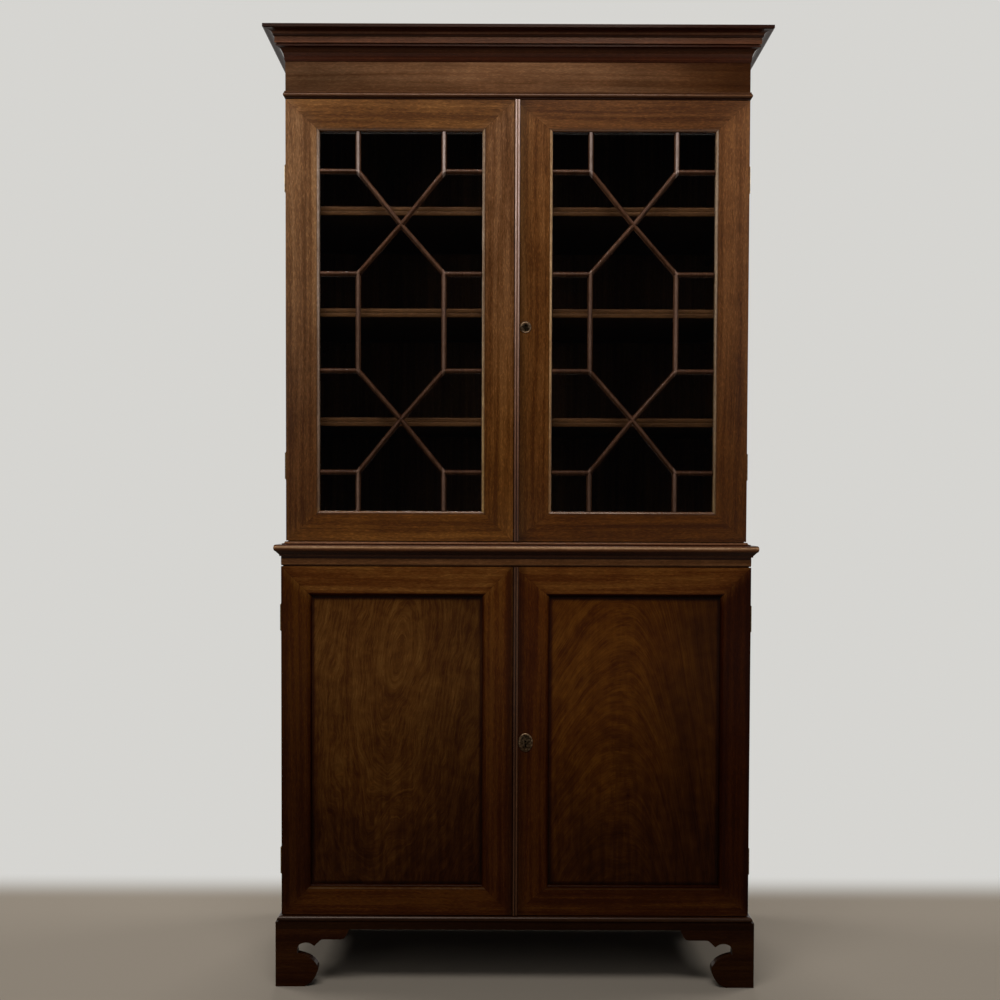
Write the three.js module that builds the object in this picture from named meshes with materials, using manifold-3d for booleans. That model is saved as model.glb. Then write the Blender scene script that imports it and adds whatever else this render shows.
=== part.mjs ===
// Two-stage glazed bookcase: an upper case with a pair of doors glazed in a thirteen-pane
// pattern stands on a cupboard with a pair of panelled doors, over bracket feet.
// Millimetres, +Z up, front towards -Y. The origin is the middle of the footprint on the floor.
import * as THREE from "three";
import { mergeVertices } from "three/addons/utils/BufferGeometryUtils.js";
import Module from "manifold-3d";

// Widths and depths of the two cases
const lowerWidth = 1100;
const upperInset = 10;
const lowerDepth = 440;
const sideThickness = 20;
const backThickness = 12;
const backRebate = 9;

// Heights of the stages, from the floor up
const footHeight = 136;
const plinthRailHeight = 17;
const plinthMouldHeight = 11.5;
const lowerDoorHeight = 822;
const lowerTopThickness = 16.5;
const waistHeight = 39.5;
const upperDoorHeight = 1025.5;
const beadHeight = 16;
const friezeHeight = 68.5;
const corniceHeight = 68;

// Mouldings: how far each stands out from the case below or above it
const plinthReach = 12;
const plinthRailThickness = 20;
const plinthMouldReach = 9.5;
const plinthMouldQuirk = 2.8;
const plinthMouldLip = 1.2;
const topBoardQuirk = 3;
const waistReach = 15;
const waistBandHeight = 5.5;
const waistFootReach = 3.5;
const waistFootHeight = 3;
const waistSlopeHeight = 9;
const waistNoseHeight = 15;
const waistNoseBase = 11.5;
const waistLedgeReach = 8.3;
const waistLedgeHeight = 2.7;
const waistHeadStep = 2;
const waistHeadReach = 2.5;
const corniceReach = 44;
const friezeBeadReach = 5;
const friezeBeadQuirk = 2.5;
const friezeBeadFillet = 3;

// Clearances
const touchGap = 0.3;
const doorGap = 2;
const meetingGap = 1.5;
const seam = 1.6;

// Doors
const doorThickness = 22;
const upperOuterStile = 79;
const upperInnerEdge = 82;
const upperTopRail = 72.5;
const upperBottomRail = 70;
const lowerOuterStile = 70.5;
const lowerInnerEdge = 79;
const lowerTopRail = 70.5;
const lowerBottomRail = 70.5;
const sightMouldWidth = 6;
const sightMouldDepth = 5;
const glassPlane = 10.8;
const glassThickness = 2.4;
const glassLap = 6;
const panelStepWidth = 7.5;
const panelStepDepth = 7;
const panelQuirk = 1.4;
const panelPlane = 9;
const panelThickness = 7;
const panelLap = 8;

// Meeting bead
const meetingBeadWidth = 12;
const meetingBeadReach = 4;
const meetingBeadBase = 1.4;

// Glazing bars
const barWidth = 12;
const barRound = 4.4;
const barCrown = 1.6;
const barShoulder = 2.6;

// Boards and shelves
const upperFloorLap = 20;
const upperFloorThickness = 22;
const upperTopThickness = 20;
const upperTopDrop = 5;
const lowerFloorLap = 18;
const lowerFloorThickness = 20;
const doorStopDepth = 15;
const doorStopLap = 16;
const shelfThickness = 20;
const shelfSetback = 14;
const shelfReed = 1.2;
const shelfTongue = 12;
const shelfPlay = 0.5;
const grooveDepth = 6;
const grooveStep = 42;
const shelfHeights = { shelf_low: 1320, shelf_middle: 1578, shelf_high: 1817.5 };
const lowerShelfHeight = 560;
const lowerShelfSetback = 60;
const backBoards = 8;
const backVee = 3;

// Bracket feet
const footWidth = 172;
const footSideWidth = 150;
const footThickness = 20;
const backBracketWidth = 110;
const backBracketToe = 46;
const backBendShare = 0.7;

// Hinges
const hingeLength = 62;
const upperHingeInset = 145;
const lowerHingeInset = 91;
const leafWidth = 16;
const leafThickness = 2;
const knuckleRadius = 3.5;
const pinRadius = 1.6;
const knuckles = 5;
const finialHeight = 2.4;

// Locks, keyholes and bolts
const lockWidth = 44;
const lockHeight = 56;
const lockDepth = 12.5;
const lockBoltHeight = 13;
const lockBoltThickness = 5;
const lockBoltLength = 20;
const lockBoltTravel = 9;
const lockBoltFromBack = 6;
const keyholeRadius = 2.3;
const keyholeWidth = 3.6;
const keyholeLength = 11;
const keyDepth = 8;
const upperEscutcheonRadius = 13.5;
const lowerEscutcheonRadius = 17;
const lowerEscutcheonStretch = 1.28;
const escutcheonThickness = 3.2;
const upperKeyholeHeight = 1549;
const lowerKeyholeHeight = 576;
const flushBoltLength = 96;
const flushBoltWidth = 9;
const flushBoltNeck = 6;
const flushBoltDepth = 5.5;
const flushBoltTravel = 10;
const flushBoltInset = 30;
const flushKnobRadius = 3;
const flushKnobReach = 1.1;

// Facets of round work
const knuckleSides = 12;
const plateSides = 28;
const curveSteps = 5;
const outlineSteps = 2;
const over = 5;

// Places worked out from the sizes above
const lowerHalf = lowerWidth / 2;
const upperHalf = lowerHalf - upperInset;
const frontReach = Math.max(waistReach, corniceReach - upperInset);
const lowerFront = (frontReach - lowerDepth) / 2;
const back = lowerFront + lowerDepth;
const upperFront = lowerFront + upperInset;
const lowerCaseFront = lowerFront + doorThickness + seam;
const upperCaseFront = upperFront + doorThickness + seam;
const plinthRailTop = footHeight + plinthRailHeight;
const plinthTop = plinthRailTop + plinthMouldHeight;
const lowerDoorBottom = plinthTop + doorGap;
const lowerDoorTop = lowerDoorBottom + lowerDoorHeight;
const lowerTopBottom = lowerDoorTop + doorGap;
const lowerTop = lowerTopBottom + lowerTopThickness;
const waistTop = lowerTop + waistHeight;
const upperDoorBottom = waistTop + doorGap;
const upperDoorTop = upperDoorBottom + upperDoorHeight;
const beadBottom = upperDoorTop + doorGap;
const friezeTop = beadBottom + beadHeight + friezeHeight;
const corniceTop = friezeTop + corniceHeight;
const upperSideTop = corniceTop - upperTopDrop;
const upperFloorTop = upperDoorBottom + upperFloorLap;
const upperFloorBottom = upperFloorTop - upperFloorThickness;
const lowerFloorTop = lowerDoorBottom + lowerFloorLap;
const lowerFloorBottom = lowerFloorTop - lowerFloorThickness;
const meetingEdge = -meetingBeadWidth / 2;

const wasm = await Module();
wasm.setup();

// A closed mesh as a solid for joining and cutting
function toSolid(geometry) {
  const bare = geometry.index ? geometry.toNonIndexed() : geometry.clone();
  bare.deleteAttribute("normal");
  bare.deleteAttribute("uv");
  const merged = mergeVertices(bare);
  return new wasm.Manifold(new wasm.Mesh({
    numProp: 3,
    vertProperties: new Float32Array(merged.attributes.position.array),
    triVerts: new Uint32Array(merged.index.array),
  }));
}

function toGeometry(solid) {
  const mesh = solid.getMesh();
  const geometry = new THREE.BufferGeometry();
  const corners = [];
  for (let i = 0; i < mesh.vertProperties.length; i += mesh.numProp) {
    corners.push(...mesh.vertProperties.slice(i, i + 3));
  }
  geometry.setAttribute("position", new THREE.Float32BufferAttribute(corners, 3));
  geometry.setIndex(Array.from(mesh.triVerts));
  return geometry;
}

// A geometry from loose triangles, turned so that its faces point out
function fromTriangles(triangles) {
  let volume = 0;
  for (const [a, b, c] of triangles) {
    volume += a.dot(b.clone().cross(c));
  }
  const corners = [];
  for (const [a, b, c] of triangles) {
    const turned = volume < 0 ? [a, c, b] : [a, b, c];
    for (const corner of turned) {
      corners.push(corner.x, corner.y, corner.z);
    }
  }
  const geometry = new THREE.BufferGeometry();
  geometry.setAttribute("position", new THREE.Float32BufferAttribute(corners, 3));
  return mergeVertices(geometry);
}

// Two triangles for each cell between neighbouring rings of points
function skin(rings, closeRings) {
  const triangles = [];
  const last = closeRings ? rings.length : rings.length - 1;
  for (let i = 0; i < last; i += 1) {
    const near = rings[i];
    const far = rings[(i + 1) % rings.length];
    for (let j = 0; j < near.length; j += 1) {
      const next = (j + 1) % near.length;
      triangles.push([near[j], far[j], far[next]]);
      triangles.push([near[j], far[next], near[next]]);
    }
  }
  return triangles;
}

// A block between two corners, whatever their order
function block(x0, x1, y0, y1, z0, z1) {
  const geometry = new THREE.BoxGeometry(Math.abs(x1 - x0), Math.abs(y1 - y0), Math.abs(z1 - z0));
  return geometry.translate((x0 + x1) / 2, (y0 + y1) / 2, (z0 + z1) / 2);
}

function blockSolid(...corners) {
  return toSolid(block(...corners));
}

function extrude(shape, depth, right, up, start) {
  const geometry = new THREE.ExtrudeGeometry(shape, {
    depth, bevelEnabled: false, curveSegments: curveSteps,
  });
  const along = right.clone().cross(up);
  geometry.applyMatrix4(new THREE.Matrix4().makeBasis(right, up, along));
  return geometry.translate(start.x, start.y, start.z);
}

const xAxis = new THREE.Vector3(1, 0, 0);
const yAxis = new THREE.Vector3(0, 1, 0);
const zAxis = new THREE.Vector3(0, 0, 1);

// An outline in Y and Z, drawn out along X from x0 to x1
function alongX(shape, x0, x1) {
  return extrude(shape, x1 - x0, yAxis, zAxis, new THREE.Vector3(x0, 0, 0));
}

// An outline in X and Z, drawn out along Y from y0 back to y1
function alongY(shape, y0, y1) {
  return extrude(shape, y1 - y0, xAxis, zAxis, new THREE.Vector3(0, y1, 0));
}

// An outline in X and Y, drawn out along Z from z0 up to z1
function alongZ(shape, z0, z1) {
  return extrude(shape, z1 - z0, xAxis, yAxis, new THREE.Vector3(0, 0, z0));
}

function outline(points) {
  return new THREE.Shape(points.map(([a, b]) => new THREE.Vector2(a, b)));
}

function upright(radius, z0, z1, x, y, sides) {
  const geometry = new THREE.CylinderGeometry(radius, radius, z1 - z0, sides);
  return toSolid(geometry.rotateX(Math.PI / 2).translate(x, y, (z0 + z1) / 2));
}

// A moulding that runs round the left side, the front and the right side of a case, mitred at
// its two front corners. The profile holds [reach, height] points from its foot to its head;
// the inner face lies at the given half width and front.
function surround({ half, front, innerHalf, innerFront, profile }) {
  const foot = profile[0].y;
  const head = profile[profile.length - 1].y;
  const places = profile.map((p) => ({ side: half + p.x, front: front - p.x, z: p.y }));
  places.push({ side: innerHalf, front: innerFront, z: head });
  places.push({ side: innerHalf, front: innerFront, z: foot });
  const stations = [
    (p) => new THREE.Vector3(-p.side, back, p.z),
    (p) => new THREE.Vector3(-p.side, p.front, p.z),
    (p) => new THREE.Vector3(p.side, p.front, p.z),
    (p) => new THREE.Vector3(p.side, back, p.z),
  ];
  const triangles = skin(stations.map((station) => places.map(station)), false);
  const cap = new THREE.ShapeGeometry(outline(places.map((p) => [p.side, p.z]))).toNonIndexed();
  const spots = cap.attributes.position;
  for (let i = 0; i < spots.count; i += 3) {
    const [a, b, c] = [i, i + 1, i + 2].map((k) => ({ side: spots.getX(k), z: spots.getY(k) }));
    triangles.push([stations[0](a), stations[0](b), stations[0](c)]);
    triangles.push([stations[3](a), stations[3](c), stations[3](b)]);
  }
  return fromTriangles(triangles);
}

// A rectangular frame, mitred at its corners. Each section point is a distance outwards from
// the opening, or null for the frame's outer edge, with a depth behind the door's face.
function mouldedFrame(door, section) {
  const { opening, outer, front } = door;
  const rings = section.map(([grow, depth]) => {
    const edge = grow === null ? outer : {
      x0: opening.x0 - grow, x1: opening.x1 + grow, z0: opening.z0 - grow, z1: opening.z1 + grow,
    };
    const corners = [[edge.x0, edge.z0], [edge.x1, edge.z0], [edge.x1, edge.z1], [edge.x0, edge.z1]];
    return corners.map(([x, z]) => new THREE.Vector3(x, front + depth, z));
  });
  return fromTriangles(skin(rings, true));
}

// Points of a quarter of an ellipse that bulges out (ovolo) or scoops in (cove)
function quarter(from, to, hollow) {
  const points = [];
  for (let i = 0; i <= curveSteps; i += 1) {
    const turn = (i / curveSteps) * (Math.PI / 2);
    const rise = hollow ? Math.sin(turn) : 1 - Math.cos(turn);
    const run = hollow ? 1 - Math.cos(turn) : Math.sin(turn);
    points.push([from[0] + (to[0] - from[0]) * run, from[1] + (to[1] - from[1]) * rise]);
  }
  return points;
}

// Half a round that swells outwards between two heights
function halfRound(reach, base, z0, z1, steps) {
  const points = [];
  for (let i = 0; i <= steps; i += 1) {
    const turn = (i / steps) * Math.PI;
    points.push([base + (reach - base) * Math.sin(turn), (z0 + z1) / 2 - ((z1 - z0) / 2) * Math.cos(turn)]);
  }
  return points;
}

function profileOf(...stretches) {
  const points = stretches.flat().map(([a, b]) => new THREE.Vector2(a, b));
  return points.filter((p, i) => i === 0 || p.distanceTo(points[i - 1]) > touchGap / 10);
}

// Doors of the two stages, with the outer edge and the opening of each frame
function doorPlace(name, side, stage) {
  const right = side > 0;
  const inner = right ? meetingEdge : meetingEdge - meetingGap;
  const outerEdge = side * stage.half;
  const openOuter = side * (stage.half - stage.outerStile);
  const openInner = side * stage.innerEdge;
  return {
    name,
    side,
    stage,
    front: stage.front,
    outer: {
      x0: Math.min(outerEdge, inner), x1: Math.max(outerEdge, inner), z0: stage.z0, z1: stage.z1,
    },
    opening: {
      x0: Math.min(openOuter, openInner),
      x1: Math.max(openOuter, openInner),
      z0: stage.z0 + stage.bottomRail,
      z1: stage.z1 - stage.topRail,
    },
  };
}

const upperStage = {
  half: upperHalf,
  front: upperFront,
  z0: upperDoorBottom,
  z1: upperDoorTop,
  outerStile: upperOuterStile,
  innerEdge: upperInnerEdge,
  topRail: upperTopRail,
  bottomRail: upperBottomRail,
  hingeInset: upperHingeInset,
  keyholeHeight: upperKeyholeHeight,
  escutcheonRadius: upperEscutcheonRadius,
};
const lowerStage = {
  half: lowerHalf,
  front: lowerFront,
  z0: lowerDoorBottom,
  z1: lowerDoorTop,
  outerStile: lowerOuterStile,
  innerEdge: lowerInnerEdge,
  topRail: lowerTopRail,
  bottomRail: lowerBottomRail,
  hingeInset: lowerHingeInset,
  keyholeHeight: lowerKeyholeHeight,
  escutcheonRadius: lowerEscutcheonRadius,
};
for (const stage of [upperStage, lowerStage]) {
  stage.keyholeX = meetingBeadWidth / 2 + stage.escutcheonRadius + touchGap;
  stage.hingeY = stage.front + doorThickness + seam / 2;
  stage.hingeX = stage.half + knuckleRadius + touchGap;
  stage.hingeZs = {
    bottom: stage.z0 + stage.hingeInset + hingeLength / 2,
    top: stage.z1 - stage.hingeInset - hingeLength / 2,
  };
}

const doors = {
  upper_door_left: doorPlace("upper_door_left", -1, upperStage),
  upper_door_right: doorPlace("upper_door_right", 1, upperStage),
  lower_door_left: doorPlace("lower_door_left", -1, lowerStage),
  lower_door_right: doorPlace("lower_door_right", 1, lowerStage),
};

// Butt hinges: the case leaf carries the pin and every other knuckle
function knuckleSpan(z, index) {
  const pitch = hingeLength / knuckles;
  const z0 = z - hingeLength / 2 + index * pitch;
  const trimLow = index === 0 ? 0 : touchGap / 2;
  const trimHigh = index === knuckles - 1 ? 0 : touchGap / 2;
  return [z0 + trimLow, z0 + pitch - trimHigh];
}

function hingeLeaf(stage, side, z, onDoor) {
  const x = side * stage.hingeX;
  const y = stage.hingeY;
  const facing = onDoor ? -1 : 1;
  const near = y + facing * (touchGap / 2);
  const far = near + facing * leafThickness;
  const plateStart = side * stage.half;
  const plateEnd = side * (stage.half - leafWidth);
  let leaf = blockSolid(plateStart, plateEnd, near, far, z - hingeLength / 2, z + hingeLength / 2);
  for (let i = 0; i < knuckles; i += 1) {
    if ((i % 2 === 1) === onDoor) {
      const [z0, z1] = knuckleSpan(z, i);
      leaf = leaf.add(blockSolid(x, side * (stage.half - knuckleRadius), near, far, z0, z1));
      leaf = leaf.add(upright(knuckleRadius, z0, z1, x, y, knuckleSides));
    }
  }
  if (onDoor) {
    const reach = hingeLength / 2 + over;
    return leaf.subtract(upright(pinRadius + touchGap, z - reach, z + reach, x, y, knuckleSides));
  }
  const ends = hingeLength / 2 + finialHeight;
  return leaf.add(upright(pinRadius, z - ends, z + ends, x, y, knuckleSides));
}

// The shallow housings that the leaves lie in
function leafHousing(stage, side, z, onDoor) {
  const woodFace = onDoor ? stage.front + doorThickness : stage.front + doorThickness + seam;
  const facing = onDoor ? -1 : 1;
  const leafFar = stage.hingeY + facing * (touchGap / 2 + leafThickness + touchGap);
  const tall = hingeLength / 2 + touchGap;
  const start = side * (stage.half + over);
  const end = side * (stage.half - leafWidth - touchGap);
  return blockSolid(start, end, woodFace - facing * over, leafFar, z - tall, z + tall);
}

function cutLeafHousings(solid, stage, side, onDoor) {
  let cut = solid;
  for (const z of Object.values(stage.hingeZs)) {
    cut = cut.subtract(leafHousing(stage, side, z, onDoor));
  }
  return cut;
}

// Keyhole: a round eye over a narrow slot, through the stile and into the lock
function keyholeSolid(stage, depth) {
  const x = stage.keyholeX;
  const z = stage.keyholeHeight;
  const y0 = stage.front - over;
  const y1 = stage.front + depth;
  const eye = new THREE.CylinderGeometry(keyholeRadius, keyholeRadius, y1 - y0, knuckleSides);
  eye.translate(x, (y0 + y1) / 2, z);
  const slot = blockSolid(x - keyholeWidth / 2, x + keyholeWidth / 2, y0, y1, z - keyholeLength, z);
  return toSolid(eye).add(slot);
}

// The lock is let into the back of the right-hand meeting stile, flush with its edge
function lockSpan(stage, grow) {
  const backFace = stage.front + doorThickness;
  const z = stage.keyholeHeight;
  return [
    meetingEdge - grow, meetingEdge + lockWidth + grow,
    backFace - lockDepth - grow, backFace + (grow > 0 ? over : 0),
    z - lockHeight / 2 - grow, z + lockHeight / 2 + grow,
  ];
}

function lockBoltSpan(stage, grow) {
  const y1 = stage.front + doorThickness - lockBoltFromBack;
  const z = stage.keyholeHeight;
  return {
    y0: y1 - lockBoltThickness - grow, y1: y1 + grow,
    z0: z - lockBoltHeight / 2 - grow, z1: z + lockBoltHeight / 2 + grow,
  };
}

function lockSolid(stage) {
  const channel = lockBoltSpan(stage, touchGap);
  const end = meetingEdge + lockBoltLength + 2 * touchGap;
  const way = blockSolid(meetingEdge - over, end, channel.y0, channel.y1, channel.z0, channel.z1);
  const lockFace = doorThickness - lockDepth;
  return blockSolid(...lockSpan(stage, 0)).subtract(way).subtract(keyholeSolid(stage, lockFace + keyDepth));
}

function lockBolt(stage) {
  const bolt = lockBoltSpan(stage, 0);
  const x0 = meetingEdge + touchGap;
  return block(x0, x0 + lockBoltLength, bolt.y0, bolt.y1, bolt.z0, bolt.z1);
}

// The pocket in the left-hand stile that takes the shot bolt
function lockStrike(stage) {
  const bolt = lockBoltSpan(stage, 2 * touchGap);
  const edge = meetingEdge - meetingGap;
  return blockSolid(edge + over, edge - lockBoltTravel, bolt.y0, bolt.y1, bolt.z0, bolt.z1);
}

// Flush bolt: a dovetailed bar that slides in a channel in the back of the left-hand stile
function flushBoltOutline(stage, grow) {
  const x = meetingEdge - meetingGap - flushBoltInset;
  const face = stage.front + doorThickness - touchGap + grow;
  const wide = flushBoltWidth / 2 + grow;
  const neck = flushBoltNeck / 2 + grow;
  const deep = face - flushBoltDepth - 2 * grow;
  return outline([[x - wide, deep], [x + wide, deep], [x + neck, face], [x - neck, face]]);
}

function flushBolt(stage) {
  const z1 = stage.z1 - touchGap;
  const bar = toSolid(alongZ(flushBoltOutline(stage, 0), z1 - flushBoltLength, z1));
  const knob = new THREE.CylinderGeometry(flushKnobRadius, flushKnobRadius,
    flushKnobReach + touchGap + flushBoltDepth / 2, knuckleSides);
  const x = meetingEdge - meetingGap - flushBoltInset;
  const knobEnd = stage.front + doorThickness + flushKnobReach;
  const knobStart = knobEnd - flushKnobReach - touchGap - flushBoltDepth / 2;
  const knobZ = z1 - flushBoltLength + 2 * flushKnobRadius;
  return toGeometry(bar.add(toSolid(knob.translate(x, (knobStart + knobEnd) / 2, knobZ))));
}

function flushChannel(stage) {
  const z0 = stage.z1 - flushBoltLength - 2 * touchGap;
  return toSolid(alongZ(flushBoltOutline(stage, touchGap), z0, stage.z1 + over));
}

// The hole over the door that the raised flush bolt enters
function flushStrike(stage) {
  const x = meetingEdge - meetingGap - flushBoltInset;
  const wide = flushBoltWidth / 2 + 2 * touchGap;
  const y1 = stage.front + doorThickness;
  const y0 = y1 - flushBoltDepth - 3 * touchGap;
  const z0 = stage.z1 + doorGap;
  return blockSolid(x - wide, x + wide, y0, y1, z0 - over, z0 + flushBoltTravel);
}

// Sections of the two kinds of door frame, from the opening's edge outwards
function glazedSection() {
  const mould = quarter([sightMouldWidth, 0], [0, sightMouldDepth], false);
  const rebate = glassPlane - touchGap;
  return [
    [null, 0],
    ...mould,
    [0, rebate],
    [glassLap + touchGap, rebate],
    [glassLap + touchGap, doorThickness],
    [null, doorThickness],
  ];
}

function panelledSection() {
  const mould = quarter([panelStepWidth - panelQuirk, panelQuirk], [0, panelStepDepth], false);
  const groove = panelLap + touchGap;
  return [
    [null, 0],
    [panelStepWidth, 0],
    [panelStepWidth, panelQuirk],
    ...mould,
    [0, panelPlane - touchGap],
    [groove, panelPlane - touchGap],
    [groove, panelPlane + panelThickness + touchGap],
    [0, panelPlane + panelThickness + touchGap],
    [0, doorThickness],
    [null, doorThickness],
  ];
}

function doorFrame(door, section) {
  let frame = cutLeafHousings(toSolid(mouldedFrame(door, section)), door.stage, door.side, true);
  if (door.side > 0) {
    frame = frame.subtract(blockSolid(...lockSpan(door.stage, touchGap)));
    frame = frame.subtract(keyholeSolid(door.stage, doorThickness - lockDepth + over));
  } else {
    frame = frame.subtract(lockStrike(door.stage)).subtract(flushChannel(door.stage));
  }
  return toGeometry(frame);
}

// The glazing pattern, as shares of the opening's width and height from its top left corner
const stubXShare = 0.235;
const stubYShare = 0.103;
const crossYShare = 0.243;
const waistYShare = 0.372;
const barRunShares = [
  [stubXShare, 0, stubXShare, stubYShare],
  [0, stubYShare, stubXShare, stubYShare],
  [stubXShare, stubYShare, 0.5, crossYShare],
  [0.5, crossYShare, stubXShare, waistYShare],
  [0, waistYShare, stubXShare, waistYShare],
  [stubXShare, waistYShare, stubXShare, 0.5],
];

// One astragal bar between two points of the opening: a half round on a flat base
function barSolid(door, from, to) {
  const base = glassPlane - touchGap;
  const side = [[-barWidth / 2, -base], [-barWidth / 2, -base + barShoulder]];
  const round = halfRound(-barCrown, -base + barShoulder, -barRound, barRound, 2 * curveSteps)
    .map(([rise, across]) => [across, rise]);
  const section = outline([...side, ...round, [barWidth / 2, -base + barShoulder], [barWidth / 2, -base]]);
  const start = new THREE.Vector3(from[0], door.front, from[1]);
  const way = new THREE.Vector3(to[0] - from[0], 0, to[1] - from[1]);
  const geometry = new THREE.ExtrudeGeometry(section, { depth: way.length(), bevelEnabled: false });
  const along = way.clone().normalize();
  const outwards = yAxis.clone().negate();
  const across = outwards.clone().cross(along);
  geometry.applyMatrix4(new THREE.Matrix4().makeBasis(across, outwards, along));
  return toSolid(geometry.translate(start.x, start.y, start.z));
}

function glazingBars(door) {
  const { x0, x1, z0, z1 } = door.opening;
  const width = x1 - x0;
  const height = z1 - z0;
  const runs = [];
  for (const [ax, ay, bx, by] of barRunShares) {
    for (const [mirrorX, mirrorY] of [[0, 0], [1, 0], [0, 1], [1, 1]]) {
      runs.push([[ax, ay], [bx, by]].map(([sx, sy]) => [
        x0 + width * (mirrorX ? 1 - sx : sx),
        z1 - height * (mirrorY ? 1 - sy : sy),
      ]));
    }
  }
  let lattice = barSolid(door, ...runs[0]);
  for (const [from, to] of runs.slice(1)) {
    lattice = lattice.add(barSolid(door, from, to));
  }
  for (const x of [stubXShare, 1 - stubXShare]) {
    for (const y of [stubYShare, waistYShare, 1 - waistYShare, 1 - stubYShare]) {
      lattice = lattice.add(barCrownSolid(door, x0 + width * x, z1 - height * y));
    }
  }
  const inside = blockSolid(x0 + touchGap, x1 - touchGap, door.front, door.front + doorThickness,
    z0 + touchGap, z1 - touchGap);
  return toGeometry(lattice.intersect(inside));
}

// The turned crown where bars meet, which closes the outer corner of each joint
function barCrownSolid(door, x, z) {
  const base = glassPlane - touchGap;
  const floor = base - barShoulder;
  const rise = floor - barCrown;
  const points = [[0, -base], [barRound, -base], [barRound, -floor]];
  for (let i = 1; i <= curveSteps; i += 1) {
    const turn = (i / curveSteps) * (Math.PI / 2);
    points.push([barRound * Math.cos(turn), -floor + rise * Math.sin(turn)]);
  }
  points[points.length - 1][0] = 0;
  const lathe = new THREE.LatheGeometry(points.map(([a, b]) => new THREE.Vector2(a, b)), knuckleSides);
  lathe.rotateX(Math.PI);
  return toSolid(lathe.translate(x, door.front, z));
}

function glassSheet(door) {
  const { x0, x1, z0, z1 } = door.opening;
  const y = door.front + glassPlane;
  return block(x0 - glassLap, x1 + glassLap, y, y + glassThickness, z0 - glassLap, z1 + glassLap);
}

function doorPanel(door) {
  const { x0, x1, z0, z1 } = door.opening;
  const y = door.front + panelPlane;
  return block(x0 - panelLap, x1 + panelLap, y, y + panelThickness, z0 - panelLap, z1 + panelLap);
}

// Two reeds with a quirk between them, on the face of the right-hand door at its meeting edge
function meetingBead(stage) {
  const half = meetingBeadWidth / 2;
  const reed = half - meetingBeadBase / 2;
  const face = stage.front;
  const crown = (centre) => halfRound(-meetingBeadReach, -meetingBeadBase, -reed / 2, reed / 2, curveSteps)
    .map(([rise, across]) => [centre + across, face + rise]);
  const left = crown(-reed / 2 - meetingBeadBase / 2 + touchGap);
  const right = crown(reed / 2 + meetingBeadBase / 2 - touchGap);
  return alongZ(outline([[-half, face], ...left, ...right, [half, face]]), stage.z0, stage.z1);
}

// A domed key plate with a raised rim, as shares of its radius and thickness
const keyPlateShares = [
  [0, 0], [1, 0], [1, 0.33], [0.93, 0.62], [0.86, 0.5], [0.72, 0.72], [0.5, 0.92], [0, 1],
];

function escutcheon(stage, stretch) {
  const points = keyPlateShares
    .map(([a, b]) => new THREE.Vector2(a * stage.escutcheonRadius, b * escutcheonThickness));
  const plate = new THREE.LatheGeometry(points, plateSides);
  plate.rotateX(Math.PI).scale(1, 1, stretch);
  const turned = fromTriangles(trianglesOf(plate));
  turned.translate(stage.keyholeX, stage.front, stage.keyholeHeight);
  return toGeometry(toSolid(turned).subtract(keyholeSolid(stage, over)));
}

function trianglesOf(geometry) {
  const bare = geometry.toNonIndexed();
  bare.deleteAttribute("normal");
  bare.deleteAttribute("uv");
  const spots = bare.attributes.position;
  const triangles = [];
  for (let i = 0; i < spots.count; i += 3) {
    const corners = [i, i + 1, i + 2].map((k) => new THREE.Vector3().fromBufferAttribute(spots, k));
    const area = corners[1].clone().sub(corners[0]).cross(corners[2].clone().sub(corners[0])).length();
    if (area > 0) {
      triangles.push(corners);
    }
  }
  return triangles;
}

// Case sides, with grooves for the shelves, a rebate for the back and housings for the hinges
function caseSide(side, half, caseFront, z0, z1, stage, heights) {
  const inner = half - sideThickness;
  let solid = blockSolid(side * inner, side * half, caseFront, back, z0, z1);
  const rebateIn = side * (inner + backRebate);
  solid = solid.subtract(blockSolid(side * (inner - over), rebateIn, back - backThickness, back + over,
    z0 - over, z1 + over));
  for (const height of heights) {
    solid = solid.subtract(blockSolid(side * (inner - over), side * (inner + grooveDepth),
      caseFront - over, back - backThickness, height - touchGap, height + shelfTongue + touchGap));
  }
  return toGeometry(cutLeafHousings(solid, stage, side, false));
}

const upperGrooves = Object.values(shelfHeights)
  .flatMap((height) => [height - grooveStep, height, height + grooveStep]);

// A shelf with a tongue at each end that slides into the side grooves, and two reeds along its
// front edge
function shelf(half, caseFront, height, setback) {
  const inner = half - sideThickness - shelfPlay;
  const reach = half - sideThickness + grooveDepth - touchGap;
  const front = caseFront + setback;
  const rear = back - backThickness - touchGap;
  const reed = (z0) => halfRound(-shelfReed, 0, z0, z0 + shelfThickness / 2, curveSteps)
    .map(([rise, z]) => [front + shelfReed + rise, z]);
  const edge = [...reed(height), ...reed(height + shelfThickness / 2).slice(1)];
  const board = alongX(outline([...edge, [rear, height + shelfThickness], [rear, height]]), -inner, inner);
  const tongue = block(-reach, reach, front + shelfReed, rear, height, height + shelfTongue);
  return toGeometry(toSolid(board).add(toSolid(tongue)));
}

// Matched back boards, with a vee between each pair on the outer face
function backPanel(half, z0, z1) {
  const reach = half - sideThickness + backRebate - touchGap;
  const inside = back - backThickness + touchGap;
  const points = [[-reach, inside], [reach, inside], [reach, back]];
  const board = (2 * reach) / backBoards;
  for (let i = backBoards - 1; i > 0; i -= 1) {
    const x = -reach + i * board;
    points.push([x + backVee, back], [x, back - backVee], [x - backVee, back]);
  }
  points.push([-reach, back]);
  return alongZ(outline(points), z0, z1);
}

function betweenSides(half, caseFront, z0, z1) {
  const reach = half - sideThickness;
  return block(-reach, reach, caseFront, back - backThickness, z0, z1);
}

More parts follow.
